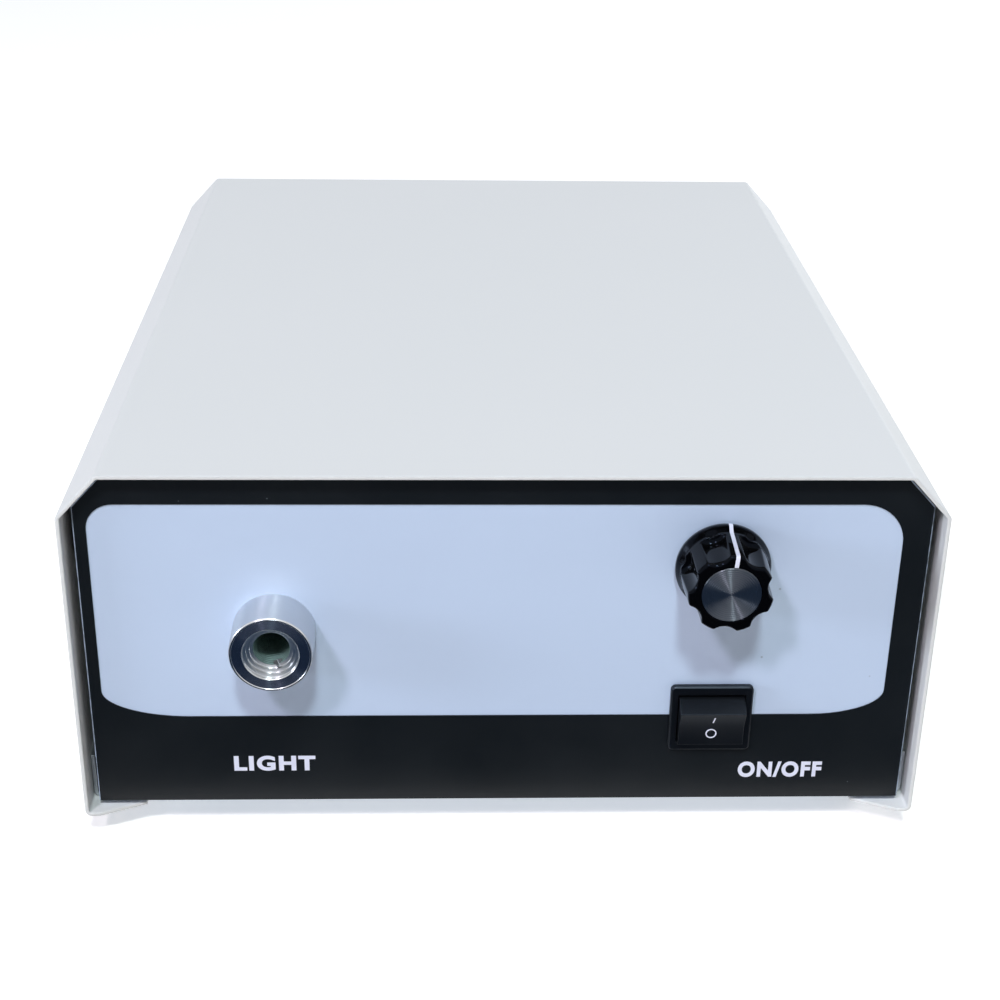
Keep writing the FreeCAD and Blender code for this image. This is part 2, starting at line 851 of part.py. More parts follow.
def draw_window(sketch):
    """The border's opening: round upper corners, and long flat curves at the lower corners."""
    left, right = value("window_left"), value("window_right")
    top, bottom = value("window_top"), value("border_bottom")
    left_round, right_round = value("window_corner_left"), value("window_corner_right")
    left_sweep, left_rise = value("window_sweep_left"), value("window_rise_left")
    right_sweep, right_rise = value("window_sweep_right"), value("window_rise_right")
    straight = [
        ((left + left_sweep, bottom), (right - right_sweep, bottom)),
        ((right, bottom + right_rise), (right, top - right_round)),
        ((right - right_round, top), (left + left_round, top)),
        ((left, top - left_round), (left, bottom + left_rise)),
    ]
    for start, end in straight:
        sketch.addGeometry(Part.LineSegment(Vector(*start, 0), Vector(*end, 0)), False)
    quarter = math.pi / 2
    up = Vector(0, 0, 1)
    upper = [
        (Vector(right - right_round, top - right_round, 0), right_round, 0.0),
        (Vector(left + left_round, top - left_round, 0), left_round, quarter),
    ]
    for centre, radius, start in upper:
        circle = Part.Circle(centre, up, radius)
        sketch.addGeometry(Part.ArcOfCircle(circle, start, start + quarter), False)
    lower = [
        (Vector(left + left_sweep, bottom + left_rise, 0), left_sweep, left_rise, 2 * quarter),
        (Vector(right - right_sweep, bottom + right_rise, 0), right_sweep, right_rise, 3 * quarter),
    ]
    for centre, sweep, rise, start in lower:
        ellipse = Part.Ellipse(centre, sweep, rise)
        sketch.addGeometry(Part.ArcOfEllipse(ellipse, start, start + quarter), False)
    for index in range(sketch.GeometryCount):
        sketch.addConstraint(Sketcher.Constraint("Block", index))


def make_border_film():
    body = new_body("border_film", "0", "panel_face_y", "floor_z")
    outline = panel_outline("film_margin")
    foot = "plate_foot + film_foot"
    outline[0] = (outline[0][0], foot)
    outline[-1] = (outline[-1][0], foot)
    add(body, "XZ", "0", "film_thickness", lambda sketch: draw_loop(sketch, outline))
    cut(body, "XZ", "0", "film_thickness", draw_window)
    cut(body, "XZ", "0", "film_thickness", switch_cutout)


def fan_holes():
    return all_pairs("fan_hole_spacing / 2", "fan_hole_spacing / 2")


def make_rear_panel():
    body = new_body("rear_panel", "0", "rear_inner_y", "floor_z")
    thick = "rear_thickness"
    add(body, "XZ", "0", thick, lambda sketch: draw_loop(sketch, panel_outline("0")))
    cut(body, "XZ", "0", thick, draw_circles([("fan_x", "fan_z")], "fan_bore_radius"))
    holes = [(f"fan_x + {across}", f"fan_z + {up}") for across, up in fan_holes()]
    cut(body, "XZ", "0", thick, draw_circles(holes, "fan_hole_radius"))
    cut(body, "XZ", "0", thick,
        lambda sketch: draw_middle_box(sketch, "inlet_x", "inlet_z",
                                       "inlet_body_width + 2 * cutout_clearance",
                                       "inlet_body_height + 2 * cutout_clearance"))
    inlet_screws = [(f"inlet_x + {side} * inlet_screw_spacing / 2", "inlet_z") for side in ("-1", "1")]
    cut(body, "XZ", "0", thick, draw_circles(inlet_screws, "inlet_screw_radius"))
    panel_screws = [("-panel_screw_x", "stud_height"), ("panel_screw_x", "stud_height")]
    cut(body, "XZ", "0", thick, draw_circles(panel_screws, "stud_radius"))
    slot = cut(body, "XZ", "0", thick,
               lambda sketch: draw_box(sketch, "vent_first_x", "vent_first_x + vent_slot_length",
                                       "vent_bottom", "vent_bottom + vent_slot_height"))
    repeat_along(body, slot, "X", "vent_count", "vent_pitch")


def make_feet():
    feet = new_body("rubber_feet", "0", "front_edge_y")
    places = foot_places()
    add(feet, "XY", "0", "foot_height - sheet", draw_circles(places, "foot_radius"))
    add(feet, "XY", "foot_height - sheet", "foot_height", draw_circles(places, "foot_top_radius"))
    cut(feet, "XY", "0", "foot_bore_depth", draw_circles(places, "foot_screw_head_radius"))
    cut(feet, "XY", "foot_bore_depth", "foot_height", draw_circles(places, "foot_screw_radius"))

    screws = new_body("foot_screws", "0", "front_edge_y")
    low = "foot_bore_depth - foot_screw_head"
    add(screws, "XY", low, "foot_bore_depth", draw_circles(places, "foot_screw_head_radius"))
    add(screws, "XY", "foot_bore_depth", "foot_bore_depth + foot_screw_reach",
        draw_circles(places, "foot_screw_radius"))


def make_case_screws():
    cover = new_body("cover_screws", "0", "front_edge_y", "floor_z")
    places = [("front_screw_y", "cover_screw_height"), ("rear_screw_y", "cover_screw_height")]
    heads = draw_circles(places, "bracket_screw_head_radius")
    shanks = draw_circles(places, "bracket_screw_radius")
    side = "cover_width / 2"
    inside = "tray_half - case_screw_reach"
    add(cover, "YZ", side, f"{side} + bracket_screw_head", heads)
    add(cover, "YZ", inside, side, shanks)
    add(cover, "YZ", f"-({side}) - bracket_screw_head", f"-({side})", heads)
    add(cover, "YZ", f"-({side})", f"-({inside})", shanks)

    panel = new_body("panel_screws", "0", "rear_inner_y", "floor_z")
    places = [("-panel_screw_x", "stud_height"), ("panel_screw_x", "stud_height")]
    add(panel, "XZ", "-case_screw_reach", "rear_thickness", draw_circles(places, "stud_radius"))
    add(panel, "XZ", "rear_thickness", "rear_thickness + bracket_screw_head",
        draw_circles(places, "bracket_screw_head_radius"))

    nuts = new_body("front_plate_nuts", "0", "plate_back_y", "floor_z")
    places = [("-stud_x", "stud_height"), ("stud_x", "stud_height")]
    add(nuts, "XZ", "sheet", "sheet + stud_nut_thickness", draw_hexagons(places, "stud_nut_width"))
    cut(nuts, "XZ", "sheet", "sheet + stud_nut_thickness", draw_circles(places, "stud_radius"))


# ---------------------------------------------------------------------------------------------
# Light-guide socket
# ---------------------------------------------------------------------------------------------


def socket_body(label):
    return new_body(label, "socket_x", "plate_front_y", "socket_axis_z", "locking_screw_turn")


def make_socket():
    body = socket_body("light_guide_socket")
    step = "mouth_step"
    narrow = "mouth_step_radius"
    front = "-barrel_length"
    spin(body, "XY", [
        ("barrel_radius", "0"),
        ("barrel_front_radius", "-barrel_length + barrel_chamfer"),
        ("barrel_front_radius - barrel_chamfer", front),
        ("mouth_radius", front),
        ("mouth_radius", f"{front} + {step}"),
        (f"mouth_radius - {narrow}", f"{front} + {step}"),
        (f"mouth_radius - {narrow}", f"{front} + 2 * {step}"),
        (f"mouth_radius - 2 * {narrow}", f"{front} + 2 * {step}"),
        (f"mouth_radius - 2 * {narrow}", f"{front} + 3 * {step}"),
        ("guide_bore_radius", f"{front} + 3 * {step}"),
        ("guide_bore_radius", "neck_length - rear_cone_depth"),
        ("rear_cone_radius", "neck_length"),
        ("neck_radius", "neck_length"),
        ("neck_radius", "0"),
    ])
    screw_y = "-barrel_length + locking_screw_setback"
    cut(body, "XY", "-barrel_radius", "0", draw_circles([("0", screw_y)], "locking_screw_radius"))

    nut = socket_body("socket_nut")
    back = "plate_thickness + socket_nut_thickness"
    add(nut, "XZ", "plate_thickness", back, draw_hexagons([("0", "0")], "socket_nut_width"))
    cut(nut, "XZ", "plate_thickness", back, draw_circles([("0", "0")], "neck_radius"))

    screw = socket_body("socket_locking_screw")
    end = "-barrel_front_radius + locking_screw_length"
    add(screw, "XY", "-barrel_front_radius", end, draw_circles([("0", screw_y)], "locking_screw_radius"))


# ---------------------------------------------------------------------------------------------
# Knob and potentiometer
# ---------------------------------------------------------------------------------------------


def knob_part(label):
    """Knob pieces share an origin on the shaft at the front plate, and the knob's rest turn."""
    return new_body(label, "knob_x", "plate_front_y", "knob_axis_z", "knob_rest_turn")


def make_knob():
    body = knob_part("knob_body")
    base = "-knob_base"
    face = "-knob_base - knob_height"
    recess = "-knob_base - knob_recess_depth"
    spin(body, "XY", [
        ("skirt_radius", base),
        ("skirt_radius", f"{base} - skirt_edge"),
        ("skirt_top_radius", f"{base} - skirt_height"),
        ("grip_radius", f"{face} + grip_edge"),
        ("grip_radius - grip_edge", face),
        ("disc_radius", face),
        ("disc_radius", f"{face} + disc_thickness"),
        ("0", f"{face} + disc_thickness"),
        ("0", f"{base} - knob_bush_end"),
        ("knob_bush_radius", f"{base} - knob_bush_end"),
        ("knob_bush_radius", recess),
        ("knob_recess_radius", recess),
        ("knob_recess_radius", base),
    ])
    flute_centre = "grip_radius + flute_radius - flute_depth"
    flute = cut(body, "XZ", f"{face} - grip_edge", f"{base} - skirt_height",
                draw_circles([(f"({flute_centre}) * sin(180 / lobe_count)",
                               f"({flute_centre}) * cos(180 / lobe_count)")], "flute_radius"))
    repeat_round(body, flute, "Y", "lobe_count")
    screw_y = "-knob_base - knob_screw_setback"
    screw_end = "-shaft_radius - shaft_clearance"
    tunnel = draw_circles([("0", screw_y)], "knob_screw_radius")
    cut(body, "XY", "-skirt_radius", "-shaft_radius", tunnel)

    disc = knob_part("knob_disc")
    add(disc, "XZ", face, f"{face} + disc_thickness", draw_circles([("0", "0")], "disc_radius"))

    bush = knob_part("knob_bush")
    spin(bush, "XY", [
        ("shaft_radius + shaft_clearance", recess),
        ("knob_bush_radius", recess),
        ("knob_bush_radius", f"{base} - knob_bush_end"),
        ("shaft_radius + shaft_clearance", f"{base} - knob_bush_end"),
    ])
    cut(bush, "XY", "-knob_bush_radius", "0", tunnel)

    screw = knob_part("knob_locking_screw")
    add(screw, "XY", f"{screw_end} - knob_screw_length", screw_end, tunnel)

    shaft = knob_part("potentiometer_shaft")
    inner = "plate_thickness + pot_bore_depth - shaft_clearance"
    tip = "-knob_base - shaft_end"
    spin(shaft, "XY", [
        ("0", inner),
        ("shaft_radius", inner),
        ("shaft_radius", f"{tip} + shaft_edge"),
        ("shaft_radius - shaft_edge", tip),
        ("0", tip),
    ])


def make_potentiometer():
    place = ("knob_x", "plate_front_y", "knob_axis_z")
    body = new_body("potentiometer_body", *place)
    seat = "plate_thickness"
    front = "-pot_bush_reach"
    bore = "shaft_radius + shaft_clearance"
    spin(body, "XY", [
        (bore, front),
        ("pot_bush_radius", front),
        ("pot_bush_radius", seat),
        ("pot_radius", seat),
        ("pot_radius", f"{seat} + pot_length"),
        ("0", f"{seat} + pot_length"),
        ("0", f"{seat} + pot_bore_depth"),
        (bore, f"{seat} + pot_bore_depth"),
    ])

    def lugs(sketch):
        for step in ("-1", "0", "1"):
            draw_box(sketch, f"{step} * lug_pitch - lug_width / 2", f"{step} * lug_pitch + lug_width / 2",
                     "-pot_radius - lug_length", "-pot_radius + lug_width")

    add(body, "XZ", f"{seat} + pot_length / 2", f"{seat} + pot_length / 2 + lug_thickness", lugs)

    washer = new_body("potentiometer_washer", *place)
    add(washer, "XZ", "-pot_washer_thickness", "0", draw_circles([("0", "0")], "pot_washer_radius"))
    cut(washer, "XZ", "-pot_washer_thickness", "0", draw_circles([("0", "0")], "pot_bush_radius"))

    nut = new_body("potentiometer_nut", *place)
    low = "-pot_washer_thickness - pot_nut_thickness"
    add(nut, "XZ", low, "-pot_washer_thickness", draw_hexagons([("0", "0")], "pot_nut_width"))
    cut(nut, "XZ", low, "-pot_washer_thickness", draw_circles([("0", "0")], "pot_bush_radius"))


# ---------------------------------------------------------------------------------------------
# Rocker switch
# ---------------------------------------------------------------------------------------------


def make_switch():
    body = new_body("switch_housing", "switch_x", "panel_face_y", "switch_axis_z")
    add(body, "XZ", "-bezel_depth", "0",
        lambda sketch: draw_middle_box(sketch, "0", "0", "bezel_width", "bezel_height"))
    dress(body, "Fillet", "bezel_corner", lambda edge: along(edge, Y_AXIS))
    front = value("-bezel_depth")
    dress(body, "Chamfer", "bezel_edge",
          lambda edge: all(abs(vertex.Y - front) < 0.001 for vertex in edge.Vertexes))
    add(body, "XZ", "0", "housing_length",
        lambda sketch: draw_middle_box(sketch, "0", "0", "housing_width", "housing_height"))
    seat = "film_thickness + plate_thickness + cutout_clearance"

    def catches(sketch):
        for side in ("-1", "1"):
            edge = f"{side} * housing_width / 2"
            inside = f"{side} * (housing_width / 2 - catch_reach)"
            draw_loop(sketch, [
                (inside, seat),
                (f"{side} * (housing_width / 2 + catch_reach)", seat),
                (edge, f"{seat} + catch_length"),
                (inside, f"{seat} + catch_length"),
            ])

    add(body, "XY", "-catch_width / 2", "catch_width / 2", catches)
    cut(body, "XZ", "-bezel_depth", "-bezel_depth + opening_depth",
        lambda sketch: draw_middle_box(sketch, "0", "0", "opening_width", "opening_height"))
    pivot_y = "-bezel_depth + pivot_depth"
    cut(body, "YZ", "-housing_width / 2", "housing_width / 2",
        draw_circles([(pivot_y, "0")], "trunnion_radius + trunnion_clearance"))

    blades = new_body("switch_terminals", "switch_x", "panel_face_y", "switch_axis_z")

    def outlines(sketch):
        for across, up in all_pairs("blade_pitch_x / 2", "blade_pitch_z / 2"):
            draw_middle_box(sketch, across, up, "blade_thickness", "blade_width")

    add(blades, "XZ", "housing_length", "housing_length + blade_length", outlines)

    rocker = new_body("switch_rocker", "switch_x", f"panel_face_y + {pivot_y}", "switch_axis_z",
                      "rocker_tilt", X_AXIS)

    def profile(sketch):
        upper = [
            ("-rocker_valley_out", "0"),
            ("-rocker_corner_out", "rocker_corner_half"),
            ("-rocker_shoulder_out", "rocker_shoulder_half"),
            ("rocker_back", "rocker_back_half"),
        ]
        lower = [(out, f"-({half})") for out, half in reversed(upper[1:])]
        draw_loop(sketch, upper + lower)

    add(rocker, "YZ", "-rocker_width / 2", "rocker_width / 2", profile)
    add(rocker, "YZ", "-trunnion_reach", "trunnion_reach", draw_circles([("0", "0")], "trunnion_radius"))


# ---------------------------------------------------------------------------------------------
# Lamp, reflector and heat filter on their brackets
# ---------------------------------------------------------------------------------------------


def make_bracket(label, place_y, width, height, window):
    """An L of sheet: a foot screwed to the tray, and an upright with a round window."""
    body = new_body(label, "socket_x", place_y, "tray_top_z")
    add(body, "XZ", "0", "bracket_sheet",
        lambda sketch: draw_box(sketch, f"-({width}) / 2", f"({width}) / 2", "0", height))
    add(body, "XY", "0", "bracket_sheet",
        lambda sketch: draw_box(sketch, f"-({width}) / 2", f"({width}) / 2", "0", "bracket_foot"))
    cut(body, "XZ", "0", "bracket_sheet", draw_circles([("0", "optical_height")], window))
    holes = [(f"{side} * bracket_screw_spacing / 2", "bracket_foot / 2") for side in ("-1", "1")]
    cut(body, "XY", "0", "bracket_sheet", draw_circles(holes, "bracket_screw_radius"))
    return body


def make_lamp():
    make_bracket("lamp_bracket", "lamp_plate_y", "lamp_plate_width", "lamp_plate_height",
                 "lamp_window_radius")
    place = ("socket_x", "lamp_plate_y + bracket_sheet", "socket_axis_z")
    ring = new_body("lamp_ring", *place)
    spin(ring, "XY", [
        ("lamp_window_radius", "0"),
        ("ring_radius", "0"),
        ("ring_radius", "ring_length"),
        ("ring_seat_radius", "ring_length"),
        ("ring_seat_radius", "ring_lip"),
        ("lamp_window_radius", "ring_lip"),
    ])

    reflector = new_body("lamp_reflector", *place)
    rim = "ring_lip + reflector_rim"
    outer = [("reflector_radius", "ring_lip"), ("reflector_radius", rim), ("dish_radius", rim)]
    inner = [("dish_radius - reflector_wall", "ring_lip")]
    steps = 5
    for step in range(1, steps + 1):
        share = step / steps
        run = f"{rim} + reflector_depth * {share}"
        radius = f"(neck_half + (dish_radius - neck_half) * sqrt(1 - {share}))"
        outer.append((radius, run))
        inner.append((f"{radius} - reflector_wall", run))
    spin(reflector, "XY", outer + list(reversed(inner)))

    spring = new_body("lamp_spring", *place)
    sketch = new_sketch(spring, "XY")
    draw_circle(sketch, "ring_seat_radius - spring_wire_radius", f"{rim} + spring_wire_radius",
                "spring_wire_radius")
    revolve(spring, sketch, 330.0)

    neck_inner = "neck_half - reflector_wall"
    back = f"{rim} + reflector_depth"
    capsule = new_body("lamp_capsule", *place)
    spin(capsule, "XY", [
        ("0", f"{back} - capsule_length"),
        ("capsule_radius - capsule_edge", f"{back} - capsule_length"),
        ("capsule_radius", f"{back} - capsule_length + capsule_edge"),
        ("capsule_radius", f"{back} - capsule_radius"),
        (neck_inner, f"{back} - capsule_radius"),
        (neck_inner, back),
        ("0", back),
    ])

    pins = new_body("lamp_pins", *place)
    places = [(f"{side} * lamp_pin_spacing / 2", "0") for side in ("-1", "1")]
    pin = draw_circles(places, "lamp_pin_radius")
    add(pins, "XZ", back, f"{back} + lamp_pin_length", pin)

    holder = new_body("lamp_holder", *place)
    add(holder, "XZ", back, f"{back} + holder_length",
        lambda sketch: draw_middle_box(sketch, "0", "0", "holder_width", "holder_height"))
    dress(holder, "Fillet", "holder_round", lambda edge: along(edge, Y_AXIS))
    cut(holder, "XZ", back, f"{back} + lamp_pin_length", pin)


def make_heat_filter():
    make_bracket("filter_bracket", "filter_plate_y", "filter_plate_width", "filter_plate_height",
                 "filter_window_radius")
    place = ("socket_x", "filter_plate_y + bracket_sheet", "socket_axis_z")
    glass = new_body("heat_filter", *place)
    add(glass, "XZ", "0", "filter_thickness", draw_circles([("0", "0")], "filter_radius"))

    clips = new_body("filter_clips", *place)
    reach = "filter_radius + clip_gap"
    outside = f"{reach} + clip_thickness"
    for side in ("-1", "1"):
        add(clips, "XY", "-clip_width / 2", "clip_width / 2",
            lambda sketch: draw_loop(sketch, [
                (f"{side} * ({reach})", "0"),
                (f"{side} * ({outside})", "0"),
                (f"{side} * ({outside})", "filter_thickness + bracket_sheet"),
                (f"{side} * (filter_radius - clip_reach)", "filter_thickness + bracket_sheet"),
                (f"{side} * (filter_radius - clip_reach)", "filter_thickness"),
                (f"{side} * ({reach})", "filter_thickness"),
            ]))


def make_bracket_screws():
    body = new_body("bracket_screws", "socket_x", "front_edge_y", "tray_z")
    places = [(f"{side} * bracket_screw_spacing / 2", f"{place} + bracket_foot / 2")
              for side in ("-1", "1") for place in ("lamp_y", "filter_y")]
    seat = "sheet + bracket_sheet"
    add(body, "XY", "0", seat, draw_circles(places, "bracket_screw_radius"))
    crown = f"{seat} + bracket_screw_head"
    add(body, "XY", seat, crown, draw_circles(places, "bracket_screw_head_radius"))


# ---------------------------------------------------------------------------------------------
# Fan
# ---------------------------------------------------------------------------------------------


def fan_part(label):
    """Fan pieces share an origin on the axle at the rear panel's inner face; the air leaves to +Y."""
    return new_body(label, "fan_x", "rear_inner_y", "fan_axis_z")


def make_fan_frame():
    body = fan_part("fan_frame")
    low = "-fan_depth"
    add(body, "XZ", low, "0",
        lambda sketch: draw_middle_box(sketch, "0", "0", "fan_width", "fan_width"))
    dress(body, "Fillet", "fan_corner", lambda edge: along(edge, Y_AXIS))
    cut(body, "XZ", low, "0", draw_circles([("0", "0")], "fan_bore_radius"))
    cut(body, "XZ", low, "0", draw_circles(fan_holes(), "fan_hole_radius"))
    strut_end = f"{low} + fan_strut_depth"
    reach = "fan_bore_radius + fan_strut_width / 2"
    add(body, "XZ", low, strut_end, draw_circles([("0", "0")], "fan_seat_radius"))
    add(body, "XZ", low, strut_end,
        lambda sketch: draw_box(sketch, f"-({reach})", reach, "-fan_strut_width / 2", "fan_strut_width / 2"))
    add(body, "XZ", low, strut_end,
        lambda sketch: draw_box(sketch, "-fan_strut_width / 2", "fan_strut_width / 2", f"-({reach})", reach))
    post_end = f"{strut_end} + fan_post_length"
    add(body, "XZ", strut_end, post_end, draw_circles([("0", "0")], "fan_post_radius"))
    cut(body, "XZ", strut_end, post_end,
        draw_circles([("0", "0")], "fan_axle_radius + fan_axle_clearance"))


def blade_section(radius, chord, pitch):
    """A thin curved section, seen along the blade: its points go round a cambered chord."""
    along_chord = (-0.5, -0.25, 0.0, 0.25, 0.5)
    points = []
    for side, shares in (("1", along_chord), ("-1", tuple(reversed(along_chord)))):
        for share in shares:
            run = f"{chord} * {share}"
            rise = f"(blade_camber * {1 - 4 * share * share} + {side} * blade_section / 2)"
            points.append((f"{run} * cos({pitch}) - {rise} * sin({pitch})",
                           f"{run} * sin({pitch}) + {rise} * cos({pitch}) + blade_level"))
    return radius, points


def make_fan_rotor():
    body = fan_part("fan_rotor")
    seat = "-fan_depth + fan_strut_depth"
    crown = f"{seat} + hub_gap + hub_depth"
    root = "hub_radius - hub_wall"
    axle_end = f"{seat} + fan_axle_clearance"
    spin(body, "XY", [
        ("0", crown),
        ("hub_radius - hub_wall", crown),
        ("hub_radius", f"{crown} - hub_wall"),
        ("hub_radius", f"{seat} + hub_gap"),
        (root, f"{seat} + hub_gap"),
        (root, f"{crown} - hub_wall"),
        ("fan_axle_radius", f"{crown} - hub_wall"),
        ("fan_axle_radius", axle_end),
        ("0", axle_end),
    ])
    sections = [
        blade_section("hub_radius - blade_root_sink", "blade_root_chord", "blade_root_pitch"),
        blade_section("fan_bore_radius", "blade_tip_chord", "blade_tip_pitch"),
    ]
    sketches = []
    for radius, points in sections:
        sketch = new_sketch(body, "XY", radius)
        draw_loop(sketch, points)
        sketches.append(sketch)
    blade = body.newObject("PartDesign::AdditiveLoft", "AdditiveLoft")
    blade.Profile = sketches[0]
    blade.Sections = sketches[1:]
    repeat_round(body, blade, "Y", "blade_count")

    def beyond_tips(sketch):
        draw_circle(sketch, "0", "0", "blade_tip_radius")
        draw_circle(sketch, "0", "0", "fan_bore_radius + blade_tip_chord")

    cut(body, "XZ", "-fan_depth", "0", beyond_tips)


def guard_ring_radii():
    """Ring radii from the outermost inwards."""
    count = int(value("guard_ring_count"))
    outermost = value("fan_bore_radius")
    return [outermost - step * value("guard_ring_pitch") for step in range(count)]


def make_fan_guard():
    """Welded wire: rings in one plane, bars across just behind them, and a leg to each screw eye."""
    wire = value("guard_wire_radius")
    rise = value("guard_rise")
    bar_level = Vector(0, rise - value("guard_bar_setback"), 0)
    eye_radius, eye_height = value("guard_eye_radius"), value("guard_eye_height")
    leg_lap = value("guard_leg_lap")
    hole = value("fan_screw_radius")
    corner = value("fan_hole_spacing") / 2
    radii = guard_ring_radii()
    pieces = [Part.makeTorus(radius, wire, Vector(0, rise, 0), Y_AXIS) for radius in radii]
    eye_bores = []
    for step in range(4):
        turn = math.radians(45 + 90 * step)
        outward = Vector(math.cos(turn), 0, math.sin(turn))
        eye = outward * (corner * math.sqrt(2))
        foot = eye - outward * (eye_radius - leg_lap) + Vector(0, wire, 0)
        bar_end = outward * radii[0] + bar_level
        leg = bar_end - foot
        pieces.append(Part.makeCylinder(eye_radius, eye_height, eye, Y_AXIS))
        pieces.append(Part.makeCylinder(wire, leg.Length, foot, leg))
        eye_bores.append(Part.makeCylinder(hole, eye_height * 3, eye - Y_AXIS * eye_height, Y_AXIS))
        if step == 0:
            pieces.append(Part.makeCylinder(wire, 2 * radii[0], bar_level - outward * radii[0], outward))
        elif step != 2:
            pieces.append(Part.makeCylinder(wire, radii[0] - radii[-1],
                                            bar_level + outward * radii[-1], outward))
    shape = pieces[0].fuse(pieces[1:]).cut(Part.makeCompound(eye_bores))
    guard = doc.addObject("Part::Feature", "fan_guard")
    guard.Label = "fan_guard"
    guard.Shape = shape
    seat = Vector(value("fan_x"), value("rear_face_y"), value("fan_axis_z"))
    guard.Placement = Placement(seat, Rotation())
    PARTS.append(guard)


def make_fan_screws():
    body = fan_part("fan_screws")
    seat = "rear_thickness + guard_eye_height"
    end = "-fan_depth - fan_nut_thickness"
    add(body, "XZ", end, seat, draw_circles(fan_holes(), "fan_screw_radius"))
    crown = f"{seat} + fan_screw_head"
    add(body, "XZ", seat, crown, draw_circles(fan_holes(), "fan_screw_head_radius"))

    nuts = fan_part("fan_nuts")
    add(nuts, "XZ", end, "-fan_depth", draw_hexagons(fan_holes(), "fan_nut_width"))
    cut(nuts, "XZ", end, "-fan_depth", draw_circles(fan_holes(), "fan_screw_radius"))


# ---------------------------------------------------------------------------------------------
# Mains inlet with its fuse drawer
# ---------------------------------------------------------------------------------------------


def inlet_part(label):
    """Inlet pieces share an origin in the middle of the flange, on the rear panel's outer face."""
    return new_body(label, "inlet_x", "rear_face_y", "inlet_axis_z")


def inlet_cavity(sketch):
    """The socket's shape: a rectangle with its two upper corners cut off."""
    half = "inlet_cavity_width / 2"
    low = "inlet_cavity_rise - inlet_cavity_height / 2"
    high = "inlet_cavity_rise + inlet_cavity_height / 2"
    draw_loop(sketch, mirror_left([
        (half, low),
        (half, f"{high} - inlet_cavity_cut"),
        (f"{half} - inlet_cavity_cut", high),
    ]))


def pin_outlines(sketch):
    """Line and neutral low at the sides, earth in the middle and a little higher."""
    for across, up in (("-pin_pitch / 2", "0"), ("pin_pitch / 2", "0"), ("0", "earth_pin_rise")):
        draw_middle_box(sketch, across, f"inlet_cavity_rise - pin_thickness + {up}",
                        "pin_thickness", "pin_width")


def make_inlet():
    body = inlet_part("inlet_housing")
    face = "inlet_flange"
    add(body, "XZ", "0", face,
        lambda sketch: draw_middle_box(sketch, "0", "0", "inlet_flange_width", "inlet_flange_height"))
    dress(body, "Fillet", "inlet_flange_corner", lambda edge: along(edge, Y_AXIS))
    add(body, "XZ", "-inlet_body_depth", "0",
        lambda sketch: draw_middle_box(sketch, "0", "0", "inlet_body_width", "inlet_body_height"))
    cavity_floor = f"{face} - inlet_cavity_depth"
    cut(body, "XZ", cavity_floor, face, inlet_cavity)
    cut(body, "XZ", "-inlet_body_depth", cavity_floor, pin_outlines)
    cut(body, "XZ", f"{face} - drawer_length - drawer_clearance", face,
        lambda sketch: draw_middle_box(sketch, "0", "-drawer_drop",
                                       "drawer_width + 2 * drawer_clearance",
                                       "drawer_height + 2 * drawer_clearance"))
    screws = [(f"{side} * inlet_screw_spacing / 2", "0") for side in ("-1", "1")]
    cut(body, "XZ", "0", face, draw_circles(screws, "inlet_screw_radius"))

    pins = inlet_part("inlet_pins")
    add(pins, "XZ", "-inlet_body_depth - pin_tail", f"{face} - pin_recess", pin_outlines)

    drawer = inlet_part("fuse_drawer")
    seat = f"{face} + drawer_clearance"
    add(drawer, "XZ", f"{face} - drawer_length", seat,
        lambda sketch: draw_middle_box(sketch, "0", "-drawer_drop", "drawer_width", "drawer_height"))
    add(drawer, "XZ", seat, f"{seat} + drawer_lip",
        lambda sketch: draw_middle_box(sketch, "0", "-drawer_drop", "drawer_width + 2 * drawer_overhang",
                                       "drawer_height + drawer_overhang"))
    fuse_y = f"{face} - fuse_seat_depth"
    cut(drawer, "XY", "-drawer_drop - fuse_radius", "-drawer_drop + drawer_height / 2",
        lambda sketch: draw_middle_box(sketch, "0", fuse_y, "fuse_length", "2 * fuse_radius"))

    fuse = inlet_part("fuse")
    add(fuse, "YZ", "-fuse_length / 2", "fuse_length / 2",
        draw_circles([(fuse_y, "-drawer_drop")], "fuse_radius"))

    fasteners = inlet_part("inlet_screws")
    add(fasteners, "XZ", "-inlet_screw_reach", face, draw_circles(screws, "inlet_screw_radius"))
    crown = f"{face} + inlet_screw_head"
    add(fasteners, "XZ", face, crown, draw_circles(screws, "inlet_screw_head_radius"))


def make_earth_stud():
    place = ("earth_stud_x", "rear_inner_y - earth_stud_setback", "tray_z")
    stud = new_body("earth_stud", *place)
    centre = [("0", "0")]
    add(stud, "XY", "0", "earth_stud_height", draw_circles(centre, "earth_stud_radius"))
    nut = new_body("earth_nut", *place)
    top = "sheet + earth_nut_thickness"
    add(nut, "XY", "sheet", top, draw_hexagons(centre, "earth_nut_width"))
    cut(nut, "XY", "sheet", top, draw_circles(centre, "earth_stud_radius"))


# ---------------------------------------------------------------------------------------------
# Toroidal transformer
# ---------------------------------------------------------------------------------------------


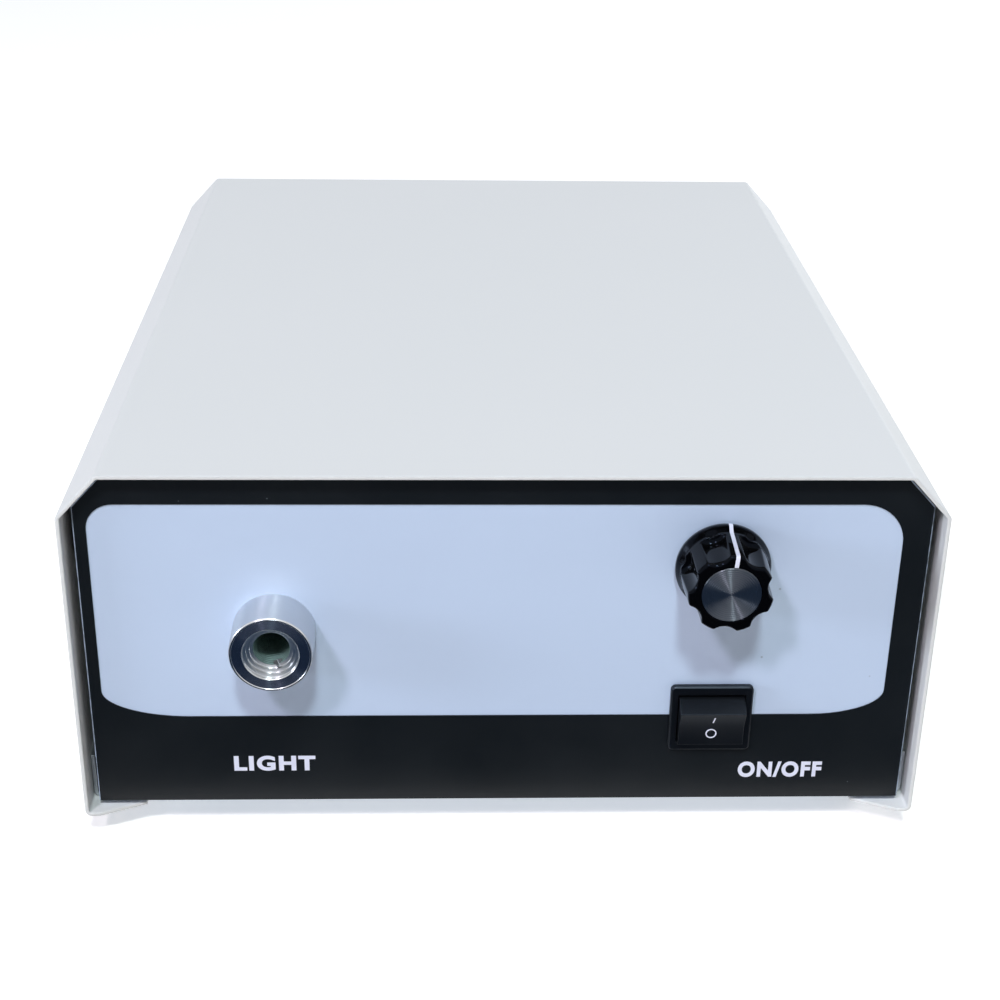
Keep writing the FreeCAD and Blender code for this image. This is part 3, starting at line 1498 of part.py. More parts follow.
def make_transformer():
    place = ("toroid_x", "front_edge_y + toroid_y", "tray_top_z")
    centre = [("0", "0")]
    low = "pad_thickness"
    high = "pad_thickness + toroid_height"
    coil = new_body("transformer_coil", *place)
    spin(coil, "XZ", [
        ("toroid_hole_radius", low),
        ("toroid_radius", low),
        ("toroid_radius", high),
        ("toroid_hole_radius", high),
    ])
    dress(coil, "Fillet", "toroid_round", lambda edge: edge.Curve.TypeId == "Part::GeomCircle")

    pads = new_body("transformer_pads", *place)
    rim = "toroid_radius - toroid_round + pad_overlap"
    bolt = "clamp_bolt_radius + clamp_hole_clearance"
    for start, end in (("0", low), (high, f"{high} + pad_thickness")):
        add(pads, "XY", start, end, draw_circles(centre, rim))
        cut(pads, "XY", start, end, draw_circles(centre, bolt))

    clamp = new_body("transformer_clamp", *place)
    seat = f"{high} + pad_thickness"
    add(clamp, "XY", seat, f"{seat} + clamp_thickness", draw_circles(centre, "clamp_radius"))
    cut(clamp, "XY", seat, f"{seat} + clamp_thickness", draw_circles(centre, bolt))

    fixing = new_body("transformer_bolt", *place)
    top = f"{seat} + clamp_thickness"
    add(fixing, "XY", "-sheet - clamp_head_thickness", "-sheet", draw_hexagons(centre, "clamp_nut_width"))
    add(fixing, "XY", "-sheet", f"{top} + clamp_nut_thickness + clamp_thickness",
        draw_circles(centre, "clamp_bolt_radius"))

    nut = new_body("transformer_nut", *place)
    add(nut, "XY", top, f"{top} + clamp_nut_thickness", draw_hexagons(centre, "clamp_nut_width"))
    cut(nut, "XY", top, f"{top} + clamp_nut_thickness", draw_circles(centre, "clamp_bolt_radius"))


# ---------------------------------------------------------------------------------------------
# Dimmer board and what stands on it
# ---------------------------------------------------------------------------------------------


def board_part(label, level="board_top_z"):
    """Board pieces are placed from the board's left front corner."""
    return new_body(label, "board_left", "board_front", level)


def board_holes():
    places = []
    for across in ("board_hole_inset", "board_width - board_hole_inset"):
        for along_y in ("board_hole_inset", "board_depth - board_hole_inset"):
            places.append((across, along_y))
    return places


def make_board():
    board = board_part("dimmer_board", "board_top_z - board_thickness")
    add(board, "XY", "0", "board_thickness",
        lambda sketch: draw_box(sketch, "0", "board_width", "0", "board_depth"))
    cut(board, "XY", "0", "board_thickness", draw_circles(board_holes(), "board_screw_radius"))

    standoffs = board_part("board_standoffs", "tray_top_z")
    add(standoffs, "XY", "0", "standoff_height", draw_hexagons(board_holes(), "standoff_width"))
    cut(standoffs, "XY", "standoff_height / 2", "standoff_height",
        draw_circles(board_holes(), "board_screw_radius"))

    screws = board_part("board_screws")
    add(screws, "XY", "-board_thickness - standoff_height / 2", "0",
        draw_circles(board_holes(), "board_screw_radius"))
    add(screws, "XY", "0", "board_screw_head", draw_circles(board_holes(), "board_screw_head_radius"))


def make_board_parts():
    sink = board_part("heat_sink")
    left = "(board_width - sink_width) / 2"
    back = "board_depth - sink_setback"
    front = f"{back} - sink_base"
    add(sink, "XY", "0", "sink_height",
        lambda sketch: draw_box(sketch, left, f"{left} + sink_width", front, back))
    fin = add(sink, "XY", "0", "sink_height",
              lambda sketch: draw_box(sketch, left, f"{left} + sink_fin_thickness",
                                      back, f"{back} + sink_fin_reach"))
    repeat_along(sink, fin, "X", "sink_fin_count",
                 "((sink_width - sink_fin_thickness) / (sink_fin_count - 1))")

    triac = board_part("triac")
    middle = "board_width / 2"
    add(triac, "XY", "triac_lead", "triac_lead + triac_height",
        lambda sketch: draw_box(sketch, f"{middle} - triac_width / 2", f"{middle} + triac_width / 2",
                                f"{front} - triac_thickness", front))

    def leads(sketch):
        for step in ("-1", "0", "1"):
            draw_middle_box(sketch, f"{middle} + {step} * triac_lead_pitch",
                            f"{front} - triac_thickness / 2",
                            "triac_lead_thickness", "triac_lead_thickness")

    add(triac, "XY", "0", "triac_lead", leads)

    cap = board_part("filter_capacitor")
    add(cap, "XY", "0", "cap_height",
        lambda sketch: draw_box(sketch, "cap_inset", "cap_inset + cap_width",
                                "board_depth / 2 - cap_depth", "board_depth / 2"))
    dress(cap, "Fillet", "cap_round", lambda edge: along(edge, Z_AXIS))

    choke = board_part("choke")
    centre = [("choke_x", "board_depth / 2 - cap_depth / 2")]
    add(choke, "XY", "0", "choke_height", draw_circles(centre, "choke_radius"))
    cut(choke, "XY", "0", "choke_height", draw_circles(centre, "choke_hole_radius"))
    dress(choke, "Fillet", "choke_round", lambda edge: edge.Curve.TypeId == "Part::GeomCircle")

    block = board_part("terminal_block")
    start = "board_width / 2 - terminal_count * terminal_pitch / 2"
    add(block, "XY", "0", "terminal_height",
        lambda sketch: draw_box(sketch, start, f"{start} + terminal_count * terminal_pitch",
                                "0", "terminal_depth"))
    entry = cut(block, "XZ", "0", "terminal_entry_depth",
                lambda sketch: draw_middle_box(sketch, f"{start} + terminal_pitch / 2", "terminal_entry",
                                               "terminal_entry", "terminal_entry"))
    repeat_along(block, entry, "X", "terminal_count", "terminal_pitch")


# ---------------------------------------------------------------------------------------------
# Build, check, write
# ---------------------------------------------------------------------------------------------


def check_document():
    """Nothing is written while a feature has failed, cut nothing or made no solid."""
    for item in doc.Objects:
        if "Invalid" in item.State or "Error" in item.State:
            raise RuntimeError(f"{item.Label} is {item.State}")
        if item.TypeId in ("PartDesign::Pocket", "PartDesign::Groove"):
            before = item.BaseFeature.Shape.Volume
            if before - item.Shape.Volume < LEAST_CUT:
                raise RuntimeError(f"{item.Name} of {item.getParentGeoFeatureGroup().Label} cuts nothing")
    for part in PARTS:
        if part.Shape.isNull() or not part.Shape.isValid() or not part.Shape.Solids:
            raise RuntimeError(f"{part.Label} has no valid solid")


def main():
    fill_sheet()
    make_cover()
    make_tray()
    make_front_plate()
    make_border_film()
    make_rear_panel()
    make_feet()
    make_case_screws()
    make_socket()
    make_knob()
    make_potentiometer()
    make_switch()
    make_lamp()
    make_heat_filter()
    make_bracket_screws()
    make_fan_frame()
    make_fan_rotor()
    make_fan_guard()
    make_fan_screws()
    make_inlet()
    make_earth_stud()
    make_transformer()
    make_board()
    make_board_parts()
    doc.recompute()
    check_document()
    os.makedirs("parts", exist_ok=True)
    for part in PARTS:
        part.Shape.exportStep(f"parts/{part.Label}.step")
        box = part.Shape.BoundBox
        print(f"{part.Label}: {len(part.Shape.Solids)} solid(s), {part.Shape.Volume:.0f} mm3,"
              f" x {box.XMin:.1f}..{box.XMax:.1f} y {box.YMin:.1f}..{box.YMax:.1f}"
              f" z {box.ZMin:.1f}..{box.ZMax:.1f}")
    whole = Part.makeCompound([part.Shape for part in PARTS]).BoundBox
    print(f"{len(PARTS)} parts; whole x {whole.XMin:.2f}..{whole.XMax:.2f}"
          f" y {whole.YMin:.2f}..{whole.YMax:.2f} z {whole.ZMin:.2f}..{whole.ZMax:.2f}")


main()
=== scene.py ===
# %% [markdown]
# # A bench light source, dressed over its CAD frame
# A folded white steel case, a recessed front plate with a printed black border, a turned
# aluminium socket for the light guide, a fluted black knob and a mains rocker.  The CAD model
# gives every piece its place.  This file adds soft edges, lettering and surface finish, one piece
# at a time, and prints what it made.

# %% Load the frame
import json
import math

import bmesh
import bpy
from mathutils import Matrix, Vector

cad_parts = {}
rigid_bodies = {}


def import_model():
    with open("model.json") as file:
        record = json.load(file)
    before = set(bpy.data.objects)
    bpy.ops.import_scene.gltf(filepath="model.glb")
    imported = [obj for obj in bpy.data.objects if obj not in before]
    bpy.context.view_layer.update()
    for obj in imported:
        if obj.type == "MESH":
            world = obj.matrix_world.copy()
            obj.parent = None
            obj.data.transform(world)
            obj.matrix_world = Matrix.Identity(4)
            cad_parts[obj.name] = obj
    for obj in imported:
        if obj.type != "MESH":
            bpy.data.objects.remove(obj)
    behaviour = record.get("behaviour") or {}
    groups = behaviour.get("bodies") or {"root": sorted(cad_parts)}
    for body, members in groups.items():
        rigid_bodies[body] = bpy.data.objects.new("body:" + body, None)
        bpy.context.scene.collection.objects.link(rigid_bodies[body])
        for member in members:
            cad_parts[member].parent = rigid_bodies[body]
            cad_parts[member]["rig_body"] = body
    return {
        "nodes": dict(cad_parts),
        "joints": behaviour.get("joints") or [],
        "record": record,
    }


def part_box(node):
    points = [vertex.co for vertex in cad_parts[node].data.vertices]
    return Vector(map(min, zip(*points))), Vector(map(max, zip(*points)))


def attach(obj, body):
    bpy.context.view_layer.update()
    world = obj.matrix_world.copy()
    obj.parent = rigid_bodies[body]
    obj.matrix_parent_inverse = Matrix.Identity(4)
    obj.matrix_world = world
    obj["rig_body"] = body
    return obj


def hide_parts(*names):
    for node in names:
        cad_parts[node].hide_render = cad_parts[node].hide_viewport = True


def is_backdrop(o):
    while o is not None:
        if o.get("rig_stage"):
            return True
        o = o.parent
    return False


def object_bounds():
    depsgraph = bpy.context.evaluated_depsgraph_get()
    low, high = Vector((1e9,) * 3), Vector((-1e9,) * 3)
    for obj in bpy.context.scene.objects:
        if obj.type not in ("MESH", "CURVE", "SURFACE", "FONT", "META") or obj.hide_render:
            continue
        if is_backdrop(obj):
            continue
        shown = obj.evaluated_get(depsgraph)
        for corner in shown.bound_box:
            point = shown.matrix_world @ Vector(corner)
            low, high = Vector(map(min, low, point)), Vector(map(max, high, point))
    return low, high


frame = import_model()
cad_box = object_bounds()

# %% [markdown]
# Blender measures in metres and the drawing in millimetres, so sizes are written in millimetres
# and multiplied in one place.  Where an axis or a face lies has been settled in the CAD model, so
# it is read from there and turned back into millimetres, to a thousandth.

# %% Units
MM = 0.001


def mm(*numbers):
    """A point or a size given in millimetres."""
    return Vector(numbers) * MM


def in_mm(place):
    """A point in metres as plain numbers in millimetres."""
    return [round(number / MM, 3) for number in place]


print("CAD box from", in_mm(cad_box[0]), "to", in_mm(cad_box[1]), "mm")

# %% [markdown]
# The camera stands in front of the case, a little to the left, and looks down on it by about
# 26 degrees.  It is only two thirds of a metre from the middle of the case, so the case narrows
# clearly towards its back, and a mildly long lens fills the frame with it.

# %% Camera
CAMERA_PLACE = (-19.533, -593.13, 332.316)
CAMERA_ANGLES = (64.173, -0.892, -1.797)
LENS, SENSOR_WIDTH = 63.43, 36.0
SIGHT_END = 60000.0

camera_data = bpy.data.cameras.new("front_camera")
camera_data.lens = LENS
camera_data.sensor_width = SENSOR_WIDTH
camera_data.clip_end = SIGHT_END * MM
camera = bpy.data.objects.new("front_camera", camera_data)
camera.location = mm(*CAMERA_PLACE)
camera.rotation_euler = [math.radians(angle) for angle in CAMERA_ANGLES]
bpy.context.scene.collection.objects.link(camera)
bpy.context.scene.camera = camera
print("camera at", in_mm(camera.location), "mm")

# %% [markdown]
# A finish is a Principled shader with a few pattern nodes in front of it.  Colours are written as
# a paint chart writes them, in sRGB, while the shader computes in linear light, so one function
# turns the first into the second.  Another adds a node with its settings, its numbers and its
# links, so that a finish reads from top to bottom like a recipe.

# %% Colour and node helpers
def linear(colour):
    """The linear colour, with alpha, of an sRGB hex value, by the two parts of the sRGB curve."""
    channels = [int(colour[start:start + 2], 16) / 255 for start in (1, 3, 5)]
    straight = [part / 12.92 if part <= 0.04045 else ((part + 0.055) / 1.055) ** 2.4 for part in channels]
    return straight + [1.0]


def add_node(tree, kind, inputs=None, links=None, **settings):
    """Add one node with its settings, its numbers and what each socket listens to."""
    made = tree.nodes.new(kind)
    for name, setting in settings.items():
        setattr(made, name, setting)
    for socket, number in (inputs or {}).items():
        made.inputs[socket].default_value = number
    for socket, source in (links or {}).items():
        tree.links.new(source, made.inputs[socket])
    return made


def new_finish(name, **numbers):
    """A material, its node tree and its Principled shader, with plain numbers set on the shader."""
    material = bpy.data.materials.new(name)
    material.use_nodes = True
    tree = material.node_tree
    shader = tree.nodes["Principled BSDF"]
    for socket, number in numbers.items():
        shader.inputs[socket.replace("_", " ")].default_value = number
    print("finish", name)
    return material, tree, shader


def object_place(tree, centre=(0, 0, 0)):
    """Object coordinates in metres, with their zero moved to a centre given in millimetres."""
    here = add_node(tree, "ShaderNodeTexCoord")
    moved = add_node(tree, "ShaderNodeMapping", {"Location": -mm(*centre)},
                     {"Vector": here.outputs["Object"]})
    return moved.outputs["Vector"]


# %% [markdown]
# Real surfaces are never one flat colour.  Three things break them up here: a broad, faint drift
# of tone; a grain, which is a small bump that scatters the highlight; and the rounded edges, where
# handling thins a coating or polishes a metal, and where the case gets a painted highlight and the
# front plate a painted shade.  The Bevel node gives a normal that is averaged over a small radius.
# Used as the surface's normal it makes a knife edge look rounded, and where it disagrees with the
# true normal an edge must be near, which places the edge colour.  Two normals agree by 1 on a flat:
# the edge colour starts a little below that and is full at 0.9.

# %% Tone, grain, edge wear and painted edge light
WEAR_AND_PAINTED_LIGHT_STARTS, WEAR_AND_PAINTED_LIGHT_FULL = 0.995, 0.9
CHIP_SIZE, CHIPS_START, CHIPS_FULL = 3.0, 0.42, 0.6
NOISE_LOW, NOISE_HIGH = 0.3, 0.7
# A Mix node has several sockets of each name, so those for its colours are called by number.
MIX_A, MIX_B, MIX_RESULT = 6, 7, 2


def per_metre(size):
    """The Scale of a texture whose spots are this many millimetres across."""
    return 1 / (size * MM)


def near_edges(tree, rounded, amount):
    """A factor that rises from 0 on the flat to an amount on an edge, broken up into chips."""
    plain = add_node(tree, "ShaderNodeNewGeometry")
    agree = add_node(tree, "ShaderNodeVectorMath", links={0: rounded, 1: plain.outputs["True Normal"]},
                     operation="DOT_PRODUCT")
    edge = add_node(tree, "ShaderNodeMapRange",
                    {"From Min": WEAR_AND_PAINTED_LIGHT_STARTS, "From Max": WEAR_AND_PAINTED_LIGHT_FULL, "To Max": amount},
                    {"Value": agree.outputs["Value"]})
    chips = add_node(tree, "ShaderNodeTexNoise", {"Scale": per_metre(CHIP_SIZE), "Detail": 3.0},
                     {"Vector": object_place(tree)})
    kept = add_node(tree, "ShaderNodeMapRange", {"From Min": CHIPS_START, "From Max": CHIPS_FULL},
                    {"Value": chips.outputs["Fac"]})
    wear_and_painted_light = add_node(tree, "ShaderNodeMath", links={0: edge.outputs["Result"], 1: kept.outputs["Result"]},
                    operation="MULTIPLY")
    return wear_and_painted_light.outputs["Value"]


def dress(tree, shader, tones, drift, grain, depth, roughness, edge=None):
    """Give a shader two close tones, a grain, a roughness range and, if asked, round edges of another colour.

    drift and grain are the sizes of the broad and the fine pattern and depth is the height of the
    grain, all in millimetres.  edge is (colour, radius in millimetres, strength); its colour is wear on
    most finishes, a painted highlight on the case and a painted shade on the front plate.  The bump
    node is handed back, so that a finish may put a coarser relief under the grain.
    """
    place = object_place(tree)
    broad = add_node(tree, "ShaderNodeTexNoise", {"Scale": per_metre(drift), "Detail": 4.0},
                     {"Vector": place})
    tone = add_node(tree, "ShaderNodeMix", {MIX_A: linear(tones[0]), MIX_B: linear(tones[1])},
                    {0: broad.outputs["Fac"]}, data_type="RGBA")
    fine = add_node(tree, "ShaderNodeTexNoise", {"Scale": per_metre(grain), "Detail": 2.0},
                    {"Vector": place})
    relief = add_node(tree, "ShaderNodeBump", {"Strength": 1.0, "Distance": depth * MM},
                      {"Height": fine.outputs["Fac"]})
    colour = tone.outputs[MIX_RESULT]
    if edge:
        wear_and_painted_light_colour, radius, amount = edge
        rounded = add_node(tree, "ShaderNodeBevel", {"Radius": radius * MM}, samples=4).outputs["Normal"]
        tree.links.new(rounded, relief.inputs["Normal"])
        wear_and_painted_light = add_node(tree, "ShaderNodeMix", {MIX_B: linear(wear_and_painted_light_colour)},
                        {0: near_edges(tree, rounded, amount), MIX_A: colour}, data_type="RGBA")
        colour = wear_and_painted_light.outputs[MIX_RESULT]
    sheen = add_node(tree, "ShaderNodeMapRange",
                     {"From Min": NOISE_LOW, "From Max": NOISE_HIGH,
                      "To Min": roughness[0], "To Max": roughness[1]},
                     {"Value": broad.outputs["Fac"]})
    tree.links.new(colour, shader.inputs["Base Color"])
    tree.links.new(sheen.outputs["Result"], shader.inputs["Roughness"])
    tree.links.new(relief.outputs["Normal"], shader.inputs["Normal"])
    return relief


def add_specks(tree, shader, colour, apart, size, amount):
    """Scatter small round specks of dust, about so many millimetres apart, over the colour."""
    spots = add_node(tree, "ShaderNodeTexVoronoi", {"Scale": per_metre(apart)},
                     {"Vector": object_place(tree)})
    rare = add_node(tree, "ShaderNodeMapRange",
                    {"From Min": size / apart, "From Max": size / apart / 2, "To Max": amount},
                    {"Value": spots.outputs["Distance"]})
    under = shader.inputs["Base Color"].links[0].from_socket
    dusty = add_node(tree, "ShaderNodeMix", {MIX_B: linear(colour)},
                     {0: rare.outputs["Result"], MIX_A: under}, data_type="RGBA")
    tree.links.new(dusty.outputs[MIX_RESULT], shader.inputs["Base Color"])


# %% [markdown]
# The case is powder coated: dry paint melted on in an oven.  It gives the eye a very even
# off-white with a faint orange-peel skin of about a millimetre, and a soft, wide highlight.  At
# cut edges the powder pulls back and shows a shinier line, painted paler: partly the thin powder
# and partly a painted highlight.

# %% Powder-coated case
powder_coat, tree, shader = new_finish("powder_coated_steel")
dress(tree, shader, ("#DADBDB", "#DDDDDD"), drift=90, grain=1.2, depth=0.004, roughness=(0.64, 0.68),
      edge=("#EDF0F2", 0.5, 0.6))

# %% [markdown]
# The front plate is enamelled smooth and slightly blue.  Stoved enamel is very even: its tone
# drifts by a few levels from end to end, with a few specks of dust.  At the plate's cut edges the
# colour is darkened to a dull grey-green, a painted shade of the narrow gaps round the plate.  Its
# roughness stays above 0.274.  Below that Cycles' denoiser takes a surface for a mirror, and a
# range that crosses the number comes out mottled, so every finish keeps to one side of it.

# %% Enamelled front plate
enamel, tree, shader = new_finish("enamelled_front_plate")
dress(tree, shader, ("#BFCEE7", "#C3D3EC"), drift=90, grain=2.0, depth=0.0006, roughness=(0.28, 0.30),
      edge=("#3A423F", 0.6, 1.0))
add_specks(tree, shader, "#8E99AC", apart=16.0, size=0.45, amount=0.7)

# %% [markdown]
# The border is black ink under a thin satin film.  It shows the room as a dim, slightly blurred
# sheen and catches single specks of dust, which are drawn as rare, small, pale spots.

# %% Printed border film
border_film, tree, shader = new_finish("printed_border_film", Specular_IOR_Level=0.4)
dress(tree, shader, ("#0D1114", "#111519"), drift=25, grain=0.5, depth=0.002, roughness=(0.30, 0.38))
add_specks(tree, shader, "#6F767C", apart=9.0, size=0.28, amount=0.6)

# %% [markdown]
# The socket is turned from aluminium bar on a lathe.  The tool leaves rings a few tenths of a
# millimetre apart round the axis.  A wave on the sum of two distances, from the axis and along it,
# draws the widest of them on faces and barrel alike.  The rest are closer than a pixel, so they are
# given to the shader as anisotropy, which draws a highlight out into a streak across the rings.
# The cross product of the lathe's axis and the way from the centre runs along the rings, and a
# rotation of a quarter turn lays the streak across them, both on the faces and on the barrel.  The
# axis is that of the light guide's bore, which the model's record gives as a mount.

# %% Turned aluminium
def axis_along_y(place):
    """An axis along Y through a place in metres, as its point at Y = 0 in millimetres."""
    across, _, up = in_mm(place)
    return across, 0, up


guide_bore = next(mount for mount in frame["record"]["mounts"] if mount["name"] == "light_guide_bore")
SOCKET_AXIS = axis_along_y(guide_bore["pos_m"])
QUARTER_TURN = 0.25


def lathe_rings(tree, shader, relief, centre, pitch, depth):
    """Put rings round an axis that runs along Y through a centre under a surface's own grain."""
    outward = object_place(tree, centre)
    apart = add_node(tree, "ShaderNodeSeparateXYZ", links={"Vector": outward})
    flat = add_node(tree, "ShaderNodeCombineXYZ", links={"X": apart.outputs["X"], "Y": apart.outputs["Z"]})
    radius = add_node(tree, "ShaderNodeVectorMath", links={0: flat.outputs["Vector"]}, operation="LENGTH")
    along = add_node(tree, "ShaderNodeMath", links={0: radius.outputs["Value"], 1: apart.outputs["Y"]},
                     operation="ADD")
    turns = add_node(tree, "ShaderNodeMath", {1: math.tau / (pitch * MM)}, {0: along.outputs["Value"]},
                     operation="MULTIPLY")
    wave = add_node(tree, "ShaderNodeMath", links={0: turns.outputs["Value"]}, operation="SINE")
    rings = add_node(tree, "ShaderNodeBump", {"Strength": 1.0, "Distance": depth * MM},
                     {"Height": wave.outputs["Value"]})
    tree.links.new(rings.outputs["Normal"], relief.inputs["Normal"])
    ring_way = add_node(tree, "ShaderNodeVectorMath", {1: (0, 1, 0)}, {0: outward}, operation="CROSS_PRODUCT")
    turned_way = add_node(tree, "ShaderNodeVectorTransform", links={"Vector": ring_way.outputs["Vector"]},
                          vector_type="VECTOR", convert_from="OBJECT", convert_to="WORLD")
    tree.links.new(turned_way.outputs["Vector"], shader.inputs["Tangent"])


turned_aluminium, tree, shader = new_finish("turned_aluminium", Metallic=1.0, Anisotropic=0.8,
                                            Anisotropic_Rotation=QUARTER_TURN)
relief = dress(tree, shader, ("#D2D4D7", "#DADCDE"), drift=6, grain=4.0, depth=0.001, roughness=(0.28, 0.30))
lathe_rings(tree, shader, relief, SOCKET_AXIS, pitch=0.7, depth=0.006)
print("socket's axis at", SOCKET_AXIS)

# %% [markdown]
# The socket's front face is cut last, with a fine feed, and is the smoothest part.  It mirrors
# whatever stands in front of it, with one narrow bright streak, and its colour is painted a darker
# blue-grey than the barrel's as a painted reflection of a dark room.

# %% Faced aluminium, painted dark
faced_aluminium_painted_reflection, tree, shader = new_finish("faced_aluminium_painted_reflection", Metallic=1.0, Anisotropic=1.0,
                                           Anisotropic_Rotation=QUARTER_TURN)
relief = dress(tree, shader, ("#747D8F", "#8891A2"), drift=4, grain=3.0, depth=0.001, roughness=(0.22, 0.25))
lathe_rings(tree, shader, relief, SOCKET_AXIS, pitch=0.5, depth=0.008)

# %% [markdown]
# The bore is drilled, not turned: its wall is dull and scored by the drill every millimetre or so.
# Its dark grey-green colour is painted shade and reflection inside the deep bore.

# %% Drilled bore in painted shade
drilled_bore_painted_shade, tree, shader = new_finish("drilled_bore_painted_shade", Metallic=0.35)
relief = dress(tree, shader, ("#617B78", "#8CA7A2"), drift=1.2, grain=0.5, depth=0.03, roughness=(0.45, 0.60))
lathe_rings(tree, shader, relief, SOCKET_AXIS, pitch=1.0, depth=0.12)

# %% [markdown]
# The disc in the knob is spun aluminium, its colour painted a dark grey as a painted reflection of a
# dark room.  It is finished as the socket is, with finer, deeper rings and all the anisotropy there
# is, so that each lamp becomes a narrow bright ray that sweeps over the disc as the knob or the eye
# moves.  Its axis is the one that the knob turns on.

# %% Spun aluminium disc
JOINTS = {joint["name"]: joint for joint in frame["joints"]}
KNOB_AXIS = axis_along_y(JOINTS["knob_turn"]["pos_m"])

spun_aluminium_painted_reflection, tree, shader = new_finish("spun_disc_painted_reflection", Metallic=1.0, Anisotropic=1.0,
                                          Anisotropic_Rotation=QUARTER_TURN)
relief = dress(tree, shader, ("#777C85", "#8B9098"), drift=5, grain=0.4, depth=0.0004, roughness=(0.28, 0.31))
lathe_rings(tree, shader, relief, KNOB_AXIS, pitch=0.62, depth=0.028)
print("knob's axis at", KNOB_AXIS)

# %% [markdown]
# The knob is pressed from phenolic powder in a hot, polished mould.  That gives it a deep black
# gloss and a trace of flow marks, and its crests grow a shade paler where fingers hold it.  The blue
# tint of its gloss is a painted reflection of a bluish room.

# %% Phenolic knob
phenolic, tree, shader = new_finish("glossy_black_phenolic", IOR=1.5, Specular_IOR_Level=0.2,
                                    Specular_Tint=linear("#8496B6"))
dress(tree, shader, ("#030304", "#050506"), drift=8, grain=1.5, depth=0.002, roughness=(0.04, 0.08),
      edge=("#0A0A0C", 0.3, 0.8))

# %% [markdown]
# The switch, the fan and the inlet are nylon, moulded in a spark-eroded tool: near black, with a
# fine even texture that turns every highlight into a grey haze.  The feet are rubber, which is
# paler, rougher and duller still.

# %% Moulded black plastic and rubber
# The blue tint of the nylon's gloss is a painted reflection of a bluish room.
moulded_nylon, tree, shader = new_finish("moulded_black_nylon", IOR=1.5, Specular_Tint=linear("#B4C4DA"))
dress(tree, shader, ("#050608", "#08090C"), drift=12, grain=0.35, depth=0.004, roughness=(0.36, 0.43),
      edge=("#0D0F12", 0.3, 0.6))

black_rubber, tree, shader = new_finish("black_rubber", IOR=1.5)
dress(tree, shader, ("#141516", "#1E1F21"), drift=8, grain=0.5, depth=0.02, roughness=(0.70, 0.85),
      edge=("#3A3B3D", 0.8, 0.7))

# %% [markdown]
# Inside, the tray and the brackets are bright zinc-plated sheet, and the fixings are zinc-plated
# steel.  Zinc is a cool grey metal with a soft cloudy sheen.  The lamp's ring and the heat sink are
# cast aluminium, and the knob's bush, the contact pins and the earth stud are brass.

# %% Zinc, castings and brass
zinc_sheet, tree, shader = new_finish("zinc_plated_sheet", Metallic=1.0)
dress(tree, shader, ("#ABB1B8", "#C6CACD"), drift=14, grain=0.8, depth=0.006, roughness=(0.30, 0.45),
      edge=("#D9DCDE", 0.4, 0.6))

zinc_screws, tree, shader = new_finish("zinc_plated_screws", Metallic=1.0)
dress(tree, shader, ("#B5B9BD", "#CDCFD1"), drift=2.5, grain=0.3, depth=0.003, roughness=(0.28, 0.36),
      edge=("#E2E4E5", 0.15, 0.6))

cast_aluminium, tree, shader = new_finish("cast_aluminium", Metallic=1.0)
dress(tree, shader, ("#A4A6A9", "#BFC1C2"), drift=5, grain=0.5, depth=0.02, roughness=(0.42, 0.58),
      edge=("#D6D7D8", 0.4, 0.6))

brass, tree, shader = new_finish("turned_brass", Metallic=1.0)
dress(tree, shader, ("#C79F49", "#E0BE6C"), drift=4, grain=0.4, depth=0.003, roughness=(0.28, 0.38),
      edge=("#F0D58E", 0.3, 0.6))

# %% [markdown]
# The lamp's capsule, the heat filter and the fuse are glass.  Glass is clear, so its detail is in
# the gloss: it is given a faint waviness and a slightly tinted body.

# %% Glass, mirror and ceramic
clear_glass, tree, shader = new_finish("quartz_glass", IOR=1.46, Transmission_Weight=1.0)
dress(tree, shader, ("#EEF5F2", "#F8FBFA"), drift=10, grain=3.0, depth=0.01, roughness=(0.02, 0.06))

mirror_glass, tree, shader = new_finish("faceted_mirror_glass", Metallic=1.0)
dress(tree, shader, ("#C9C3E0", "#E6DCE8"), drift=7, grain=2.5, depth=0.05, roughness=(0.08, 0.16))

steatite, tree, shader = new_finish("steatite_ceramic", IOR=1.6)
dress(tree, shader, ("#DDD7C8", "#EEEAE0"), drift=5, grain=0.4, depth=0.02, roughness=(0.55, 0.70),
      edge=("#C9C2B2", 0.5, 0.5))

# %% [markdown]
# The transformer is wound with copper under a wrap of yellow polyester tape, whose laps show as
# ridges about six millimetres apart.  The board is green fibreglass with a faint grain, and its
# parts are dipped or moulded in their usual colours.  The printing ink of the words and marks is
# flat and a little cool.

# %% Windings, board and components
TAPE_LAP, LAP_HEIGHT = 6.0, 0.2

taped_winding, tree, shader = new_finish("taped_copper_winding", IOR=1.5)
relief = dress(tree, shader, ("#BE931C", "#D8B43C"), drift=6, grain=1.0, depth=0.03, roughness=(0.35, 0.50))
# A Wave texture has about 20 / tau bands to one unit of length at a Scale of 1.
laps = add_node(tree, "ShaderNodeTexWave", {"Scale": per_metre(TAPE_LAP) * math.tau / 20, "Distortion": 0.6},
                {"Vector": object_place(tree)}, bands_direction="DIAGONAL", wave_profile="SAW")
lapped = add_node(tree, "ShaderNodeBump", {"Strength": 1.0, "Distance": LAP_HEIGHT * MM},
                  {"Height": laps.outputs["Fac"]})
tree.links.new(lapped.outputs["Normal"], relief.inputs["Normal"])

glass_fibre_board, tree, shader = new_finish("glass_fibre_board", IOR=1.5)
dress(tree, shader, ("#1A5F3B", "#25774C"), drift=4, grain=0.6, depth=0.01, roughness=(0.30, 0.42),
      edge=("#8FB58A", 0.3, 0.8))

red_lacquer, tree, shader = new_finish("dipped_red_lacquer", IOR=1.5)
dress(tree, shader, ("#96331D", "#B2442A"), drift=6, grain=1.5, depth=0.02, roughness=(0.28, 0.36))

